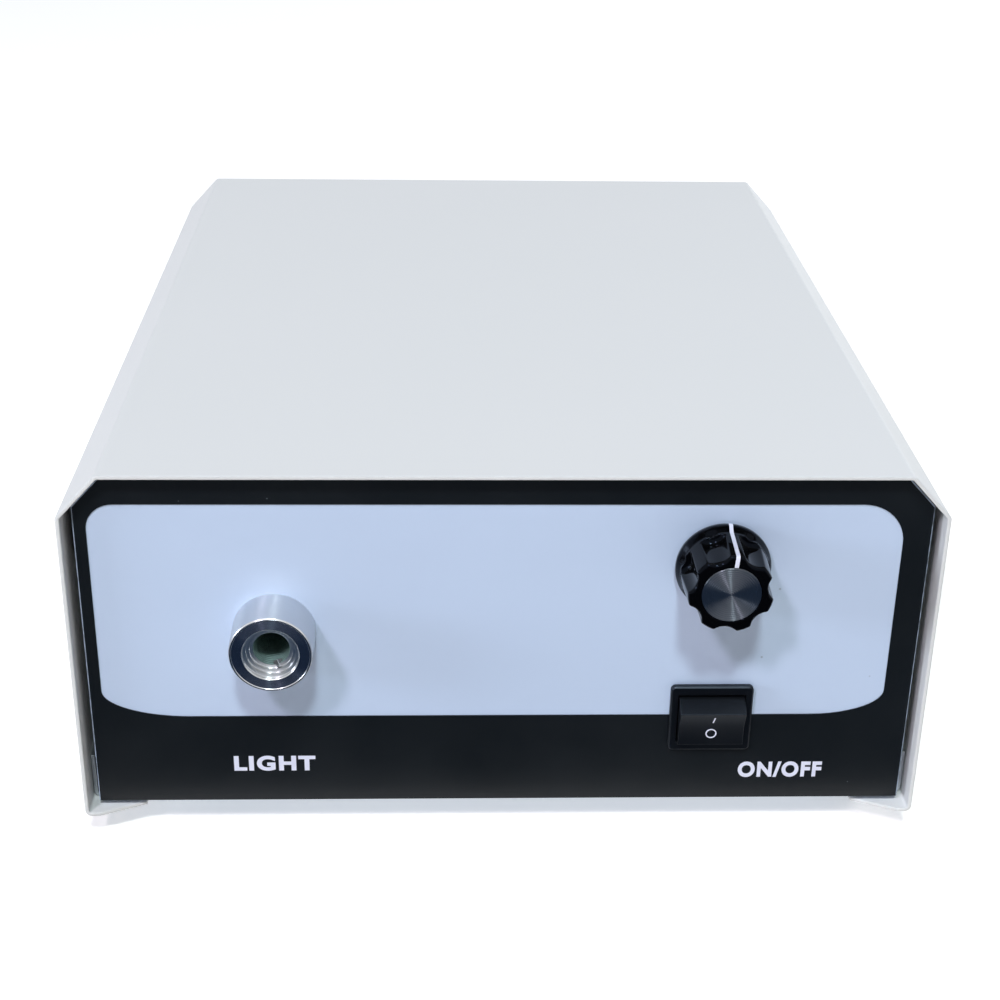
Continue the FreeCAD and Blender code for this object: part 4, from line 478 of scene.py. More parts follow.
green_moulding, tree, shader = new_finish("moulded_green_polyamide", IOR=1.5)
dress(tree, shader, ("#2A7F4F", "#369662"), drift=6, grain=0.4, depth=0.01, roughness=(0.38, 0.50),
      edge=("#5DB384", 0.4, 0.6))

white_ink, tree, shader = new_finish("white_printing_ink", IOR=1.45)
dress(tree, shader, ("#DADCF2", "#E8EAF8"), drift=3, grain=0.3, depth=0.003, roughness=(0.35, 0.50))

# %% [markdown]
# Every CAD node keeps its shape and takes the finish of its slot in the parts list.  Nodes that
# get a new shape further down are hidden there.

# %% Dress every CAD node
SLOT_FINISH = {
    "cover_paint": powder_coat,
    "panel_paint": enamel,
    "border_print": border_film,
    "zinc_steel": zinc_sheet,
    "screw_steel": zinc_screws,
    "turned_aluminium": turned_aluminium,
    "cast_aluminium": cast_aluminium,
    "black_bakelite": phenolic,
    "black_nylon": moulded_nylon,
    "brass": brass,
    "black_rubber": black_rubber,
    "glass": clear_glass,
    "reflector_glass": mirror_glass,
    "ceramic": steatite,
    "winding": taped_winding,
    "circuit_board": glass_fibre_board,
    "component_red": red_lacquer,
    "component_green": green_moulding,
}
for node in frame["nodes"].values():
    for place in node.material_slots:
        place.material = SLOT_FINISH[place.material.name]
print("dressed", len(frame["nodes"]), "nodes in", len(SLOT_FINISH), "finishes")

# %% [markdown]
# New pieces are built in a bmesh, Blender's workbench for geometry, and only then made an object.
# Smooth shading with sharp edges kept, and normals weighted by face area, leave the big flats flat
# while the small rounded edges catch the light.

# %% Piece helpers
WELD = 0.001 * MM


def make_piece(name, shape, body, slot, finish, *stands_for, smooth=35):
    """Turn a bmesh into a shaded object that rides on a body and stands for some CAD nodes."""
    mesh = bpy.data.meshes.new(name)
    shape.to_mesh(mesh)
    shape.free()
    mesh.shade_smooth()
    mesh.set_sharp_from_angle(angle=math.radians(smooth))
    mesh.materials.append(finish)
    piece = bpy.data.objects.new(name, mesh)
    bpy.context.scene.collection.objects.link(piece)
    weighted = piece.modifiers.new("flats stay flat", "WEIGHTED_NORMAL")
    weighted.keep_sharp = True
    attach(piece, body)
    if stands_for:
        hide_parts(*stands_for)
    print(name, len(mesh.vertices), "vertices on", body)
    return piece


def corner_edges(shape, angle):
    """The edges where two faces meet more sharply than an angle in degrees."""
    return [edge for edge in shape.edges
            if len(edge.link_faces) == 2 and edge.calc_face_angle() > math.radians(angle)]


def soften(shape, edges, width, segments):
    """Round edges by a width in millimetres."""
    bmesh.ops.bevel(shape, geom=list(edges), offset=width * MM, offset_type="OFFSET", affect="EDGES",
                    segments=segments, profile=0.5, material=-1, clamp_overlap=True)


def turned(profile, steps):
    """Spin half an outline, given as (radius, height) in millimetres, about Z into a closed solid."""
    shape = bmesh.new()
    points = [shape.verts.new(mm(radius, 0, height)) for radius, height in profile]
    lines = [shape.edges.new(pair) for pair in zip(points, points[1:] + points[:1])]
    bmesh.ops.spin(shape, geom=points + lines, axis=(0, 0, 1), cent=(0, 0, 0), angle=math.tau,
                   steps=steps, use_merge=True)
    bmesh.ops.remove_doubles(shape, verts=shape.verts, dist=WELD)
    bmesh.ops.dissolve_degenerate(shape, edges=shape.edges, dist=WELD)
    loose = [edge for edge in shape.edges if not edge.link_faces]
    bmesh.ops.delete(shape, geom=loose, context="EDGES")
    bmesh.ops.recalc_face_normals(shape, faces=shape.faces)
    return shape


def cut_away(shape, cutter):
    """What is left of a bmesh when a boolean takes another one away from it."""
    rough = []
    for part in (shape, cutter):
        mesh = bpy.data.meshes.new("rough")
        part.to_mesh(mesh)
        part.free()
        rough.append(bpy.data.objects.new("rough", mesh))
        bpy.context.scene.collection.objects.link(rough[-1])
    cut = rough[0].modifiers.new("cut", "BOOLEAN")
    cut.object = rough[1]
    cut.operation = "DIFFERENCE"
    graph = bpy.context.evaluated_depsgraph_get()
    cut_mesh = bpy.data.meshes.new_from_object(rough[0].evaluated_get(graph), depsgraph=graph)
    left = bmesh.new()
    left.from_mesh(cut_mesh)
    for thing in rough:
        bpy.data.objects.remove(thing)
    return left


def facing_front(x, y, z, turn=0.0):
    """From a drawing that lies flat, up in +Y and towards the viewer in +Z, to a place on the front."""
    return (Matrix.Translation(mm(x, y, z)) @ Matrix.Rotation(math.radians(turn), 4, "Y")
            @ Matrix.Rotation(math.radians(90), 4, "X"))


# %% [markdown]
# The cover is one sheet of 1.2 mm steel, folded along its length into two flanges, two sides, two
# sloping corners and a top.  It is made as the press brake makes it: the outline of the section is
# drawn once, drawn out along the depth, the folds are rounded, the ends of the flanges are trimmed
# to a slant, and the sheet gets its thickness last.  The corners of the cover's box in the frame
# give its width, depth and height.

# %% Folded cover
(_, FRONT, UNDERSIDE), (HALF_WIDTH, BACK, TOP) = map(in_mm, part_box("top_cover"))
SHEET = 1.2
FLANGE = 18.0
CORNER_ACROSS, CORNER_DOWN = 12.0, 13.0
SQUARE_FOLD, SLOPING_FOLD = 2.0, 0.83

case = bmesh.new()
right_side = [(HALF_WIDTH - FLANGE, UNDERSIDE), (HALF_WIDTH, UNDERSIDE),
              (HALF_WIDTH, TOP - CORNER_DOWN), (HALF_WIDTH - CORNER_ACROSS, TOP)]
section = right_side + [(-across, up) for across, up in reversed(right_side)]
points = [case.verts.new(mm(across, FRONT, up)) for across, up in section]
lines = [case.edges.new(pair) for pair in zip(points, points[1:])]
drawn = bmesh.ops.extrude_edge_only(case, edges=lines)
moved = [item for item in drawn["geom"] if isinstance(item, bmesh.types.BMVert)]
bmesh.ops.translate(case, verts=moved, vec=mm(0, BACK - FRONT, 0))
square_folds = corner_edges(case, angle=80)
every_fold = corner_edges(case, angle=30)
print("folds:", len(square_folds), "square and", len(every_fold) - len(square_folds), "sloping")
soften(case, square_folds, SQUARE_FOLD, segments=8)
soften(case, corner_edges(case, angle=30), SLOPING_FOLD, segments=6)

# %% [markdown]
# The slant at each flange's end runs from 4.5 mm inside the case's side back by 6 mm at the
# flange's free edge.  A plane that stands on that line cuts it.  The edges and corners to be cut
# are gathered as the keys of a dictionary, which names each once and keeps their order.

# %% Trimmed flanges
TRIM_INSET, TRIM_BACK = 4.5, 6.0
CUT_EDGE = 0.25

for side in (-1, 1):
    for end, way in ((FRONT, 1), (BACK, -1)):
        flange = [face for face in case.faces if face.calc_center_median().z < (UNDERSIDE + 1) * MM
                  and abs(face.normal.z) > 0.99 and face.calc_center_median().x * side > 0]
        around = dict.fromkeys(item for face in flange for item in (*face.edges, *face.verts))
        bmesh.ops.bisect_plane(case, geom=flange + list(around),
                               plane_co=mm(side * (HALF_WIDTH - TRIM_INSET), end, UNDERSIDE),
                               plane_no=(-side * TRIM_BACK, -way * (FLANGE - TRIM_INSET), 0),
                               clear_outer=True)
bmesh.ops.recalc_face_normals(case, faces=case.faces)
lid = max(case.faces, key=lambda face: face.calc_center_median().z)
if lid.normal.z < 0:
    bmesh.ops.reverse_faces(case, faces=case.faces)
bmesh.ops.solidify(case, geom=case.faces, thickness=SHEET * MM)
soften(case, corner_edges(case, angle=60), CUT_EDGE, segments=2)
make_piece("case_cover", case, "chassis", "cover_paint", powder_coat, "top_cover", smooth=30)

# %% [markdown]
# The socket is a lathe job, so it is made as one: half of its section is drawn, with its neck, a
# lip round its front face and three steps in its mouth, and spun round its axis.  Rounding the
# rings by less than a tenth of a millimetre gives each edge the thin bright line of a deburred
# one.  The set screw that holds a light guide comes into the bore from below, so a leaning rod is
# taken away there with a boolean.  Heights are counted forwards from the front plate.

# %% Light-guide socket
PLATE_FRONT = in_mm(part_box("front_plate")[0])[1]
BORE = guide_bore["dims"]["r_mm"]
DEBURRED = 0.07
HOLE_RADIUS, HOLE_LENGTH = 1.42, 13.0
HOLE_LEAN = 18
HOLE_DROP, HOLE_HEIGHT = 9.5, 9.1

socket = turned([
    (8.0, -15.0), (10.0, -15.0), (10.0, 0.0), (12.3, 0.0), (12.1, 13.9), (11.8, 14.3), (11.4, 14.3),
    (11.3, 14.1), (8.35, 14.1), (8.1, 13.85), (8.1, 12.8), (7.2, 12.8), (7.2, 11.6), (6.3, 11.6),
    (6.3, 10.4), (BORE, 10.4), (BORE, -12.0),
], steps=144)
soften(socket, corner_edges(socket, angle=30), DEBURRED, segments=2)
bmesh.ops.transform(socket, matrix=facing_front(SOCKET_AXIS[0], PLATE_FRONT, SOCKET_AXIS[2]),
                    verts=socket.verts)

rod = bmesh.new()
bmesh.ops.create_cone(rod, cap_ends=True, segments=40, radius1=HOLE_RADIUS * MM,
                      radius2=HOLE_RADIUS * MM, depth=HOLE_LENGTH * MM)
bmesh.ops.translate(rod, vec=mm(0, 0, -HOLE_DROP), verts=rod.verts)
bmesh.ops.rotate(rod, matrix=Matrix.Rotation(math.radians(-HOLE_LEAN), 3, "Y"), verts=rod.verts)
bmesh.ops.translate(rod, vec=mm(SOCKET_AXIS[0], PLATE_FRONT - HOLE_HEIGHT, SOCKET_AXIS[2]),
                    verts=rod.verts)
socket = cut_away(socket, rod)
light_socket = make_piece("light_socket", socket, "chassis", "turned_aluminium", turned_aluminium,
                          "light_guide_socket")

# %% [markdown]
# The bore's wall gets the dull finish in painted shade, and the front face the smooth one with its
# painted dark reflection.  The wall's faces are those no further from the axis than the bore's own
# radius, and the front face's are outside the mouth and look straight ahead.

# %% Finishes of the bore and the face
MOUTH_EDGE = 8.2
BORE_PAINTED_SHADE, FACE_PAINTED_REFLECTION = 1, 2

light_socket.data.materials.append(drilled_bore_painted_shade)
light_socket.data.materials.append(faced_aluminium_painted_reflection)
counted = [0, 0, 0]
for face in light_socket.data.polygons:
    off_axis = math.hypot(face.center.x - SOCKET_AXIS[0] * MM, face.center.z - SOCKET_AXIS[2] * MM)
    if off_axis < (BORE + 0.05) * MM:
        face.material_index = BORE_PAINTED_SHADE
    elif off_axis > MOUTH_EDGE * MM and face.normal.y < -0.99:
        face.material_index = FACE_PAINTED_REFLECTION
    counted[face.material_index] += 1
print("faces turned, drilled and faced:", counted)

# %% [markdown]
# The knob starts as another lathe profile: a wide skirt, a slightly tapered grip and a sunk face.
# The seven finger flutes are then pressed in.  Each is the dent of a round-nosed cutter that
# comes in from the face and stops short of the skirt, so every point of the grip is moved towards
# the axis until it is outside the cutter.  A soft minimum of the two surfaces rounds the crest
# where they meet, as moulding does.  The middle of the face, the skirt and the hollow back aren't
# pressed, and from the middle outwards the press sets in by degrees.

# %% Fluted knob
KNOB_BASE = in_mm(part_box("knob_body")[1])[1]
KNOB_TURN = 5.0
KNOB_PLACE = facing_front(KNOB_AXIS[0], KNOB_BASE, KNOB_AXIS[2], KNOB_TURN)
FLUTES, STEPS_A_FLUTE = 7, 48
CUTTER, BITE = 5.2, 1.7
GRIP_TOP, GRIP_FOOT = 12.3, 12.9
FACE, SHOULDER = 17.44, 3.6
RIM = 1.0
FLUTE_END, END_LENGTH = 4.4, 1.0
CREST = 0.45
CLOSE_RINGS, CLOSE_STEP = 30, 0.1
WIDE_START, WIDE_RINGS, WIDE_STEP = 6.6, 18, 0.55
STILL_MIDDLE, PRESS_START, PRESS_LENGTH = 9.0, 8.7, 1.6
HOLLOW_RADIUS, HOLLOW_TOP = 9.6, 6.0


def grip_radius(height):
    """The uncut grip is a slight cone."""
    share = (height - SHOULDER) / (FACE - RIM - SHOULDER)
    return GRIP_FOOT + (GRIP_TOP - GRIP_FOOT) * share


def flute_bite(angle, height):
    """How far the cutter presses the grip in at an angle from the pointer and a height."""
    pitch = math.tau / FLUTES
    off = (angle % pitch) - pitch / 2
    centre = GRIP_TOP + CUTTER - BITE
    rise = min(max((FLUTE_END + END_LENGTH - height) / END_LENGTH, 0.0), 1.0)
    reach = CUTTER - BITE * (1 - math.sqrt(1 - rise ** 2))
    inside = reach ** 2 - (centre * math.sin(off)) ** 2
    if inside <= 0:
        return 0.0
    cut = centre * math.cos(off) - math.sqrt(inside)
    grip = grip_radius(height)
    near = max(CREST - abs(grip - cut), 0.0) / CREST
    return max(grip - (min(grip, cut) - near * near * CREST / 4), 0.0)


grip_rings = ([SHOULDER + CLOSE_STEP * step for step in range(CLOSE_RINGS)]
              + [WIDE_START + WIDE_STEP * step for step in range(WIDE_RINGS)])
edge_arc = [(GRIP_TOP - RIM + RIM * math.cos(math.radians(angle)),
             FACE - RIM + RIM * math.sin(math.radians(angle))) for angle in range(0, 91, 18)]
knob_outline = (
    [(0.0, 16.7), (8.6, 16.7), (8.6, 17.25), (8.75, FACE), (9.2, FACE), (9.7, FACE), (10.3, FACE)]
    + list(reversed(edge_arc))
    + [(grip_radius(height), height) for height in reversed(grip_rings)]
    + [(13.1, 3.25), (13.4, 2.6), (13.8, 1.8), (13.97, 1.4), (14.0, 1.1), (14.0, 0.2), (13.8, 0.0),
       (9.4, 0.0), (9.4, 5.4), (5.5, 5.4), (5.5, 14.0), (0.0, 14.0)]
)
knob_shape = turned(knob_outline, steps=FLUTES * STEPS_A_FLUTE)
for point in knob_shape.verts:
    radius = math.hypot(point.co.x, point.co.y) / MM
    height = point.co.z / MM
    in_hollow = radius < HOLLOW_RADIUS and height < HOLLOW_TOP
    if radius < STILL_MIDDLE or height < SHOULDER - 0.4 or in_hollow:
        continue
    bite = flute_bite(math.atan2(point.co.x, point.co.y), min(height, FACE - RIM))
    share = min(max((radius - PRESS_START) / PRESS_LENGTH, 0.0), 1.0)
    narrowed = (radius - bite * share) / radius
    point.co.x *= narrowed
    point.co.y *= narrowed
bmesh.ops.transform(knob_shape, matrix=KNOB_PLACE, verts=knob_shape.verts)
make_piece("knob_grip", knob_shape, "knob", "black_bakelite", phenolic, "knob_body", smooth=50)

# %% [markdown]
# The white pointer is a groove filled with paint.  It follows the knob's own outline from the rim
# of the skirt, up the grip and over the face to the disc, and stands a few hundredths of a
# millimetre proud, so that it never flickers against the black.

# %% Pointer line
PROUD = 0.06
POINTER_WIDTH, PAINT = 1.15, 0.25

path = ([(14.0, 0.3), (14.0, 1.35), (13.4, 2.6), (12.9, 3.6)]
        + [(grip_radius(height), height) for height in (6, 9, 12, 15)]
        + edge_arc + [(10.0, FACE), (8.75, FACE)])
pointer = bmesh.new()
points = [pointer.verts.new(mm(-POINTER_WIDTH / 2, radius + (PROUD if height < FACE - 0.1 else 0),
                               height + (PROUD if height > FACE - RIM else 0))) for radius, height in path]
lines = [pointer.edges.new(pair) for pair in zip(points, points[1:])]
drawn = bmesh.ops.extrude_edge_only(pointer, edges=lines)
moved = [item for item in drawn["geom"] if isinstance(item, bmesh.types.BMVert)]
bmesh.ops.translate(pointer, verts=moved, vec=mm(POINTER_WIDTH, 0, 0))
bmesh.ops.recalc_face_normals(pointer, faces=pointer.faces)
rim = min(pointer.faces, key=lambda face: face.calc_center_median().z)
if rim.normal.y < 0:
    bmesh.ops.reverse_faces(pointer, faces=pointer.faces)
bmesh.ops.solidify(pointer, geom=pointer.faces, thickness=PAINT * MM)
bmesh.ops.transform(pointer, matrix=KNOB_PLACE, verts=pointer.verts)
make_piece("knob_pointer", pointer, "knob", "black_bakelite", white_ink)

# %% [markdown]
# The disc is a thin pressing with a turned edge, let into the face.  Its rim stands level with the
# knob's face, and the rest of it a little lower.

# %% Knob disc
DISC_RADIUS, DISC_BACK, DISC_FRONT = 8.5, 16.72, 17.36

disc = turned([(0.0, DISC_BACK), (DISC_RADIUS, DISC_BACK), (DISC_RADIUS, 17.38), (8.4, FACE),
               (8.2, DISC_FRONT), (0.0, DISC_FRONT)], steps=128)
bmesh.ops.transform(disc, matrix=KNOB_PLACE, verts=disc.verts)
make_piece("knob_cap_disc", disc, "knob", "turned_aluminium", spun_aluminium_painted_reflection, "knob_disc")

# %% [markdown]
# The switch's housing and its rocker keep their CAD shape, but a moulding has no knife edges.  A
# copy of the CAD mesh is merged from loose triangles into clean faces, and its corners rounded.

# %% Softened copies of CAD nodes
def cad_copy(node):
    """A merged copy of a CAD node's mesh, with the triangles of each flat joined."""
    shape = bmesh.new()
    shape.from_mesh(frame["nodes"][node].data)
    bmesh.ops.remove_doubles(shape, verts=shape.verts, dist=WELD)
    bmesh.ops.dissolve_limit(shape, angle_limit=math.radians(1), verts=shape.verts, edges=shape.edges)
    return shape


def softened(name, node, width, segments, slot, finish):
    """Stand in for a CAD node with a copy of it whose corners are rounded."""
    shape = cad_copy(node)
    soften(shape, corner_edges(shape, angle=30), width, segments)
    make_piece(name, shape, frame["nodes"][node]["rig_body"], slot, finish, node)


softened("switch_bezel", "switch_housing", width=0.3, segments=3, slot="black_nylon",
         finish=moulded_nylon)
softened("rocker_button", "switch_rocker", width=0.45, segments=4, slot="black_nylon",
         finish=moulded_nylon)

# %% [markdown]
# The rocker carries the two marks of every mains switch, a bar for on and a ring for off.  They are
# drawn flat, given a hair of thickness, and laid on the two faces of the rocker, which lean by
# about ten degrees from its middle and tilt with it.  The rocker rests at one end of its range, so
# it is tilted there by half of it.

# %% Switch marks
ROCKER_PIVOT = in_mm(JOINTS["rocker_tilt"]["pos_m"])
ROCKER_TILT = JOINTS["rocker_tilt"]["range_deg"][1] / 2
VALLEY, CORNER, HALF_FACE = 5.7, 6.8, 6.4
LEAN = math.atan2(CORNER - VALLEY, HALF_FACE)
MARK_THICKNESS = 0.12
BAR_SIZE, BAR_SLANT = (0.4, 2.5), 9
RING_INSIDE, RING_OUTSIDE = 1.3, 1.68


def on_rocker(across, up):
    """A place on the rocker's face, from a drawing that lies flat, with the rocker at rest."""
    side = 1 if up > 0 else -1
    out = VALLEY + (CORNER - VALLEY) * abs(up) / HALF_FACE
    leaned = Matrix.Translation(mm(across, -out, up)) @ Matrix.Rotation(side * LEAN, 4, "X")
    tilted = Matrix.Rotation(math.radians(ROCKER_TILT), 4, "X")
    return Matrix.Translation(mm(*ROCKER_PIVOT)) @ tilted @ leaned @ Matrix.Rotation(math.radians(90), 4, "X")


bar = bmesh.new()
bmesh.ops.create_cube(bar, size=1.0)
bmesh.ops.scale(bar, vec=mm(*BAR_SIZE, MARK_THICKNESS), verts=bar.verts)
bmesh.ops.rotate(bar, matrix=Matrix.Rotation(math.radians(-BAR_SLANT), 3, "Z"), verts=bar.verts)
bmesh.ops.transform(bar, matrix=on_rocker(across=0.42, up=3.5), verts=bar.verts)
make_piece("switch_mark_on", bar, "rocker", "black_nylon", white_ink)

proud = MARK_THICKNESS / 2
ring = turned([(RING_INSIDE, -proud), (RING_OUTSIDE, -proud), (RING_OUTSIDE, proud),
               (RING_INSIDE, proud)], steps=64)
bmesh.ops.transform(ring, matrix=on_rocker(across=0, up=-2.3), verts=ring.verts)
make_piece("switch_mark_off", ring, "rocker", "black_nylon", white_ink)

# %% [markdown]
# Two plain words are printed on the border: what the socket gives, and what the switch does.
# Blender's own font is a regular weight, so the letters are grown outwards by an offset to the
# heavy weight of panel lettering, then made a mesh of a hair's thickness.  Weight, depth and
# spacing are in the font's own units, before the word is fitted to its size.

# %% Panel lettering
LETTER_WEIGHT, LETTER_DEPTH, LETTER_SPACING = 0.045, 0.005, 1.16
INK_SCALE = 0.006
WORD_PLANE = in_mm(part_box("border_film")[0])[1] - 0.01


def printed_word(name, word, middle, height, width):
    """Bold letters on the border film, fitted to a height and a width in millimetres."""
    letters = bpy.data.curves.new(name, "FONT")
    letters.body = word
    letters.offset = LETTER_WEIGHT
    letters.extrude = LETTER_DEPTH
    letters.space_character = LETTER_SPACING
    source = bpy.data.objects.new(name + "_source", letters)
    bpy.context.scene.collection.objects.link(source)
    graph = bpy.context.evaluated_depsgraph_get()
    flat = bpy.data.meshes.new_from_object(source.evaluated_get(graph), depsgraph=graph)
    shape = bmesh.new()
    shape.from_mesh(flat)
    bpy.data.objects.remove(source)
    low = Vector([min(point.co[axis] for point in shape.verts) for axis in range(3)])
    high = Vector([max(point.co[axis] for point in shape.verts) for axis in range(3)])
    bmesh.ops.translate(shape, vec=-(low + high) / 2, verts=shape.verts)
    fit = (width * MM / (high.x - low.x), height * MM / (high.y - low.y), INK_SCALE)
    bmesh.ops.scale(shape, vec=fit, verts=shape.verts)
    bmesh.ops.remove_doubles(shape, verts=shape.verts, dist=WELD / 2)
    bmesh.ops.transform(shape, matrix=facing_front(*middle), verts=shape.verts)
    make_piece(name, shape, "chassis", "border_print", white_ink)


printed_word("word_light", "LIGHT", (-69.4, WORD_PLANE, 24.4), height=5.45, width=24.8)
printed_word("word_on_off", "ON/OFF", (86.0, WORD_PLANE, 21.3), height=5.7, width=26.0)

# %% [markdown]
# The fixings outside are pan-head screws with a cross recess.  A screw is turned on the lathe and
# its cross is cut with two crossed bars.  One is made for every solid of the CAD node, and each
# cross is turned 0.65 radians on from the last, because nobody lines screws up.  The solids are
# taken in the order of their places, so that a screw gets the same angle each time.

# %% Cross-head screws
# The dome of the head, as shares of its radius and height, and its cross in the same shares.
HEAD_DOME = ((0.45, 0.98), (0.75, 0.86), (0.93, 0.55), (1.0, 0.2))
CROSS_LENGTH, CROSS_WIDTH, CROSS_DEPTH, CROSS_MIDDLE = 1.1, 0.22, 1.4, 1.15
CROSS_TAPER = 0.6
TIP_LENGTH, TIP_STEP = 0.4, 0.3
NEXT_TURN = 0.65


def loose_parts(node):
    """The lowest and highest corner of each separate solid in a CAD node, from left to right."""
    shape = cad_copy(node)
    waiting = set(shape.verts)
    boxes = []
    while waiting:
        reached = [waiting.pop()]
        part = []
        while reached:
            vert = reached.pop()
            part.append(vert.co.copy())
            linked = {edge.other_vert(vert) for edge in vert.link_edges} & waiting
            waiting -= linked
            reached.extend(linked)
        boxes.append(tuple(Vector([pick(point[axis] for point in part) for axis in range(3)])
                           for pick in (min, max)))
    shape.free()
    return sorted(boxes, key=lambda corners: in_mm(corners[0]))


def screw_shape(head_radius, head_height, shank_radius, length):
    """A pan-head screw along Z, its head's seat at 0 and its tip below."""
    dome = [(head_radius * across, head_height * up) for across, up in HEAD_DOME]
    shank = [(shank_radius, 0.0), (shank_radius, -length + TIP_LENGTH), (shank_radius - TIP_STEP, -length)]
    screw = turned([(0.0, head_height), *dome, (head_radius, 0.0), *shank, (0.0, -length)], steps=40)
    for angle in (0, 90):
        bar = bmesh.new()
        bmesh.ops.create_cube(bar, size=1.0)
        bmesh.ops.scale(bar, vec=mm(head_radius * CROSS_LENGTH, head_radius * CROSS_WIDTH,
                                    head_height * CROSS_DEPTH), verts=bar.verts)
        tip = [point for point in bar.verts if point.co.z < 0]
        bmesh.ops.scale(bar, vec=(CROSS_TAPER, CROSS_TAPER, 1.0), verts=tip)
        bmesh.ops.translate(bar, vec=mm(0, 0, head_height * CROSS_MIDDLE), verts=bar.verts)
        bmesh.ops.rotate(bar, matrix=Matrix.Rotation(math.radians(angle), 3, "Z"), verts=bar.verts)
        screw = cut_away(screw, bar)
    return screw


def place_screws(name, node, way, head_radius, head_height, shank_radius):
    """A screw on every solid of a node, with its head along an axis or, at the sides, outwards."""
    everyone = bmesh.new()
    for number, (low, high) in enumerate(loose_parts(node)):
        heading = way if way else Vector((math.copysign(1, low.x), 0, 0))
        span = abs((high - low).dot(heading))
        middle = (low + high) / 2
        seat = middle + heading * (span / 2 - head_height * MM)
        screw = screw_shape(head_radius, head_height, shank_radius, span / MM - head_height)
        bmesh.ops.rotate(screw, matrix=Matrix.Rotation(number * NEXT_TURN, 3, "Z"), verts=screw.verts)
        turn = heading.to_track_quat("Z", "Y").to_matrix().to_4x4()
        bmesh.ops.transform(screw, matrix=Matrix.Translation(seat) @ turn, verts=screw.verts)
        one = bpy.data.meshes.new("one_screw")
        screw.to_mesh(one)
        screw.free()
        everyone.from_mesh(one)
    make_piece(name, everyone, "chassis", "screw_steel", zinc_screws, node)


BACKWARDS, DOWN = Vector((0, 1, 0)), Vector((0, 0, -1))
for name, node, way, head_radius, head_height, shank_radius in (
        ("side_screws", "cover_screws", None, 2.8, 1.9, 1.5),
        ("rear_panel_screws", "panel_screws", BACKWARDS, 2.8, 1.9, 1.5),
        ("fan_guard_screws", "fan_screws", BACKWARDS, 3.6, 2.2, 2.0),
        ("mains_inlet_screws", "inlet_screws", BACKWARDS, 2.9, 1.8, 1.5),
        ("foot_fixing_screws", "foot_screws", DOWN, 3.8, 2.6, 2.0)):
    place_screws(name, node, way, head_radius, head_height, shank_radius)

# %% [markdown]
# The studio is a five-metre sheet of pale paper in a pale room, and four soft lamps.  Where the
# camera, a mirror or a lens looks at the paper or the room it is lifted to white, while everything
# else receives the room's plain, even light.  The paper ends where the lamps still light it well,
# so that its edge melts into the room.  The studio's sizes are in metres.

# %% Floor and room
PAPER_SIZE = 5.0
FLOOR_LIFT = 0.5
ROOM_LIGHT = 0.065


def lifted(tree):
    """1 where a ray comes from the camera, a glossy surface or glass, and 0 elsewhere."""
    path = add_node(tree, "ShaderNodeLightPath")
    first = add_node(tree, "ShaderNodeMath",
                     links={0: path.outputs["Is Camera Ray"], 1: path.outputs["Is Glossy Ray"]},
                     operation="MAXIMUM")
    both = add_node(tree, "ShaderNodeMath",
                    links={0: first.outputs["Value"], 1: path.outputs["Is Transmission Ray"]},
                    operation="MAXIMUM")
    return both.outputs["Value"]


def studio_sheet(name, finish, centre, size):
    """A flat square of paper or cloth on the studio's floor, in metres."""
    sheet = bmesh.new()
    bmesh.ops.create_grid(sheet, x_segments=2, y_segments=2, size=size / 2)
    bmesh.ops.translate(sheet, vec=centre, verts=sheet.verts)
    mesh = bpy.data.meshes.new(name)
    sheet.to_mesh(mesh)
    sheet.free()
    mesh.materials.append(finish)
    lying = bpy.data.objects.new(name, mesh)
    bpy.context.scene.collection.objects.link(lying)
    lying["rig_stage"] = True
    print(name, "is", size, "m square")
    return lying


floor_paper = bpy.data.materials.new("white_paper_floor")
floor_paper.use_nodes = True
tree = floor_paper.node_tree
tree.nodes.clear()
paper = add_node(tree, "ShaderNodeBsdfDiffuse", {"Color": linear("#EBE3D9")})
glow = add_node(tree, "ShaderNodeEmission", {"Color": linear("#E7F1FF")})
lift = add_node(tree, "ShaderNodeMath", {1: FLOOR_LIFT}, {0: lifted(tree)}, operation="MULTIPLY")
tree.links.new(lift.outputs["Value"], glow.inputs["Strength"])
both = add_node(tree, "ShaderNodeAddShader", links={0: paper.outputs[0], 1: glow.outputs[0]})
add_node(tree, "ShaderNodeOutputMaterial", links={"Surface": both.outputs[0]})
studio_sheet("studio_floor", floor_paper, (0, 0, 0), PAPER_SIZE)

room = bpy.data.worlds.new("pale_room")
room.use_nodes = True
bpy.context.scene.world = room
tree = room.node_tree
tree.nodes.clear()
strength = add_node(tree, "ShaderNodeMapRange", {"To Min": ROOM_LIGHT, "To Max": 1.0},
                    {"Value": lifted(tree)})
sky = add_node(tree, "ShaderNodeBackground", {"Color": (1, 1, 1, 1)},
               {"Strength": strength.outputs["Result"]})
add_node(tree, "ShaderNodeOutputWorld", links={"Surface": sky.outputs[0]})

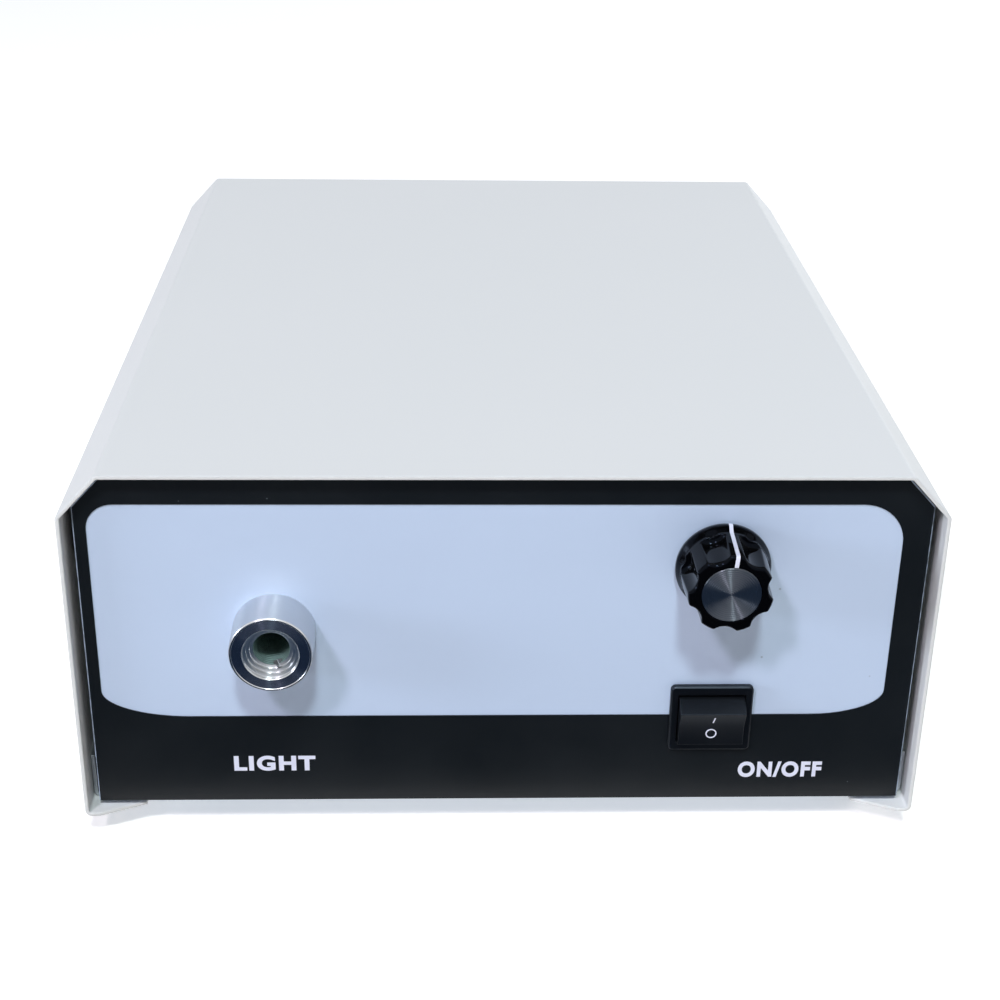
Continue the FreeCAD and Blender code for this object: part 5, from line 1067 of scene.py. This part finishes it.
# %% [markdown]
# A studio lays a dark cloth in front of shiny things, where the camera doesn't see it, so that
# black gloss stays black and turned metal gets its dark bands.  This one is seen by glossy rays
# alone: it takes no light away from the floor and throws no shadow.

# %% Dark cloth for the reflections
CLOTH_PLACE, CLOTH_SIZE = (0, -1.16, 0.0005), 2.0

dark_cloth, tree, shader = new_finish("dark_blue_cloth", Specular_IOR_Level=0.0)
dress(tree, shader, ("#394657", "#435062"), drift=40, grain=2.0, depth=0.02, roughness=(0.8, 0.9))
flag = studio_sheet("dark_cloth", dark_cloth, CLOTH_PLACE, CLOTH_SIZE)
flag.visible_camera = flag.visible_diffuse = flag.visible_transmission = flag.visible_shadow = False

# %% [markdown]
# The first lamp stands at the upper left and the second above the camera.  They are soft boxes of
# 0.4 m at four metres, which gives the shadows of the socket and the knob an edge that is soft but
# still clear.  They are tinted by a trace of violet and green, so that each lights the other's
# shadow with its own tint.  The third and fourth are larger and lower.  One shines along the front
# from the left into the right-hand wall of the cover's mouth, and one lights the right side and the
# back from behind, so that no side is left dark.

# %% Lamps
LAMP_DISTANCE = 4.0


def soft_box(name, way, size, watts, colour):
    """A square lamp in the direction given, turned to the case."""
    data = bpy.data.lights.new(name, "AREA")
    data.size = size
    data.energy = watts
    data.color = linear(colour)[:3]
    lamp = bpy.data.objects.new(name, data)
    lamp.location = Vector(way).normalized() * LAMP_DISTANCE
    lamp.rotation_euler = (-lamp.location).to_track_quat("-Z", "Y").to_euler()
    bpy.context.scene.collection.objects.link(lamp)
    print(name, "at", [round(number, 2) for number in lamp.location], "m")


soft_box("left_soft_box", (-0.64, -1.0, 1.25), size=0.4, watts=62, colour="#F6EFFD")
soft_box("front_soft_box", (0.0, -1.0, 1.44), size=0.4, watts=84, colour="#EDFAFB")
soft_box("side_soft_box", (-1.0, -0.26, 0.22), size=0.8, watts=58, colour="#E6F1FF")
soft_box("back_soft_box", (0.9, 0.8, 0.5), size=0.8, watts=84, colour="#F1F6FF")
bpy.context.scene.view_settings.view_transform = "Standard"

# %% Size of the dressed object
dressed_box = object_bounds()
print("dressed box from", in_mm(dressed_box[0]), "to", in_mm(dressed_box[1]), "mm")
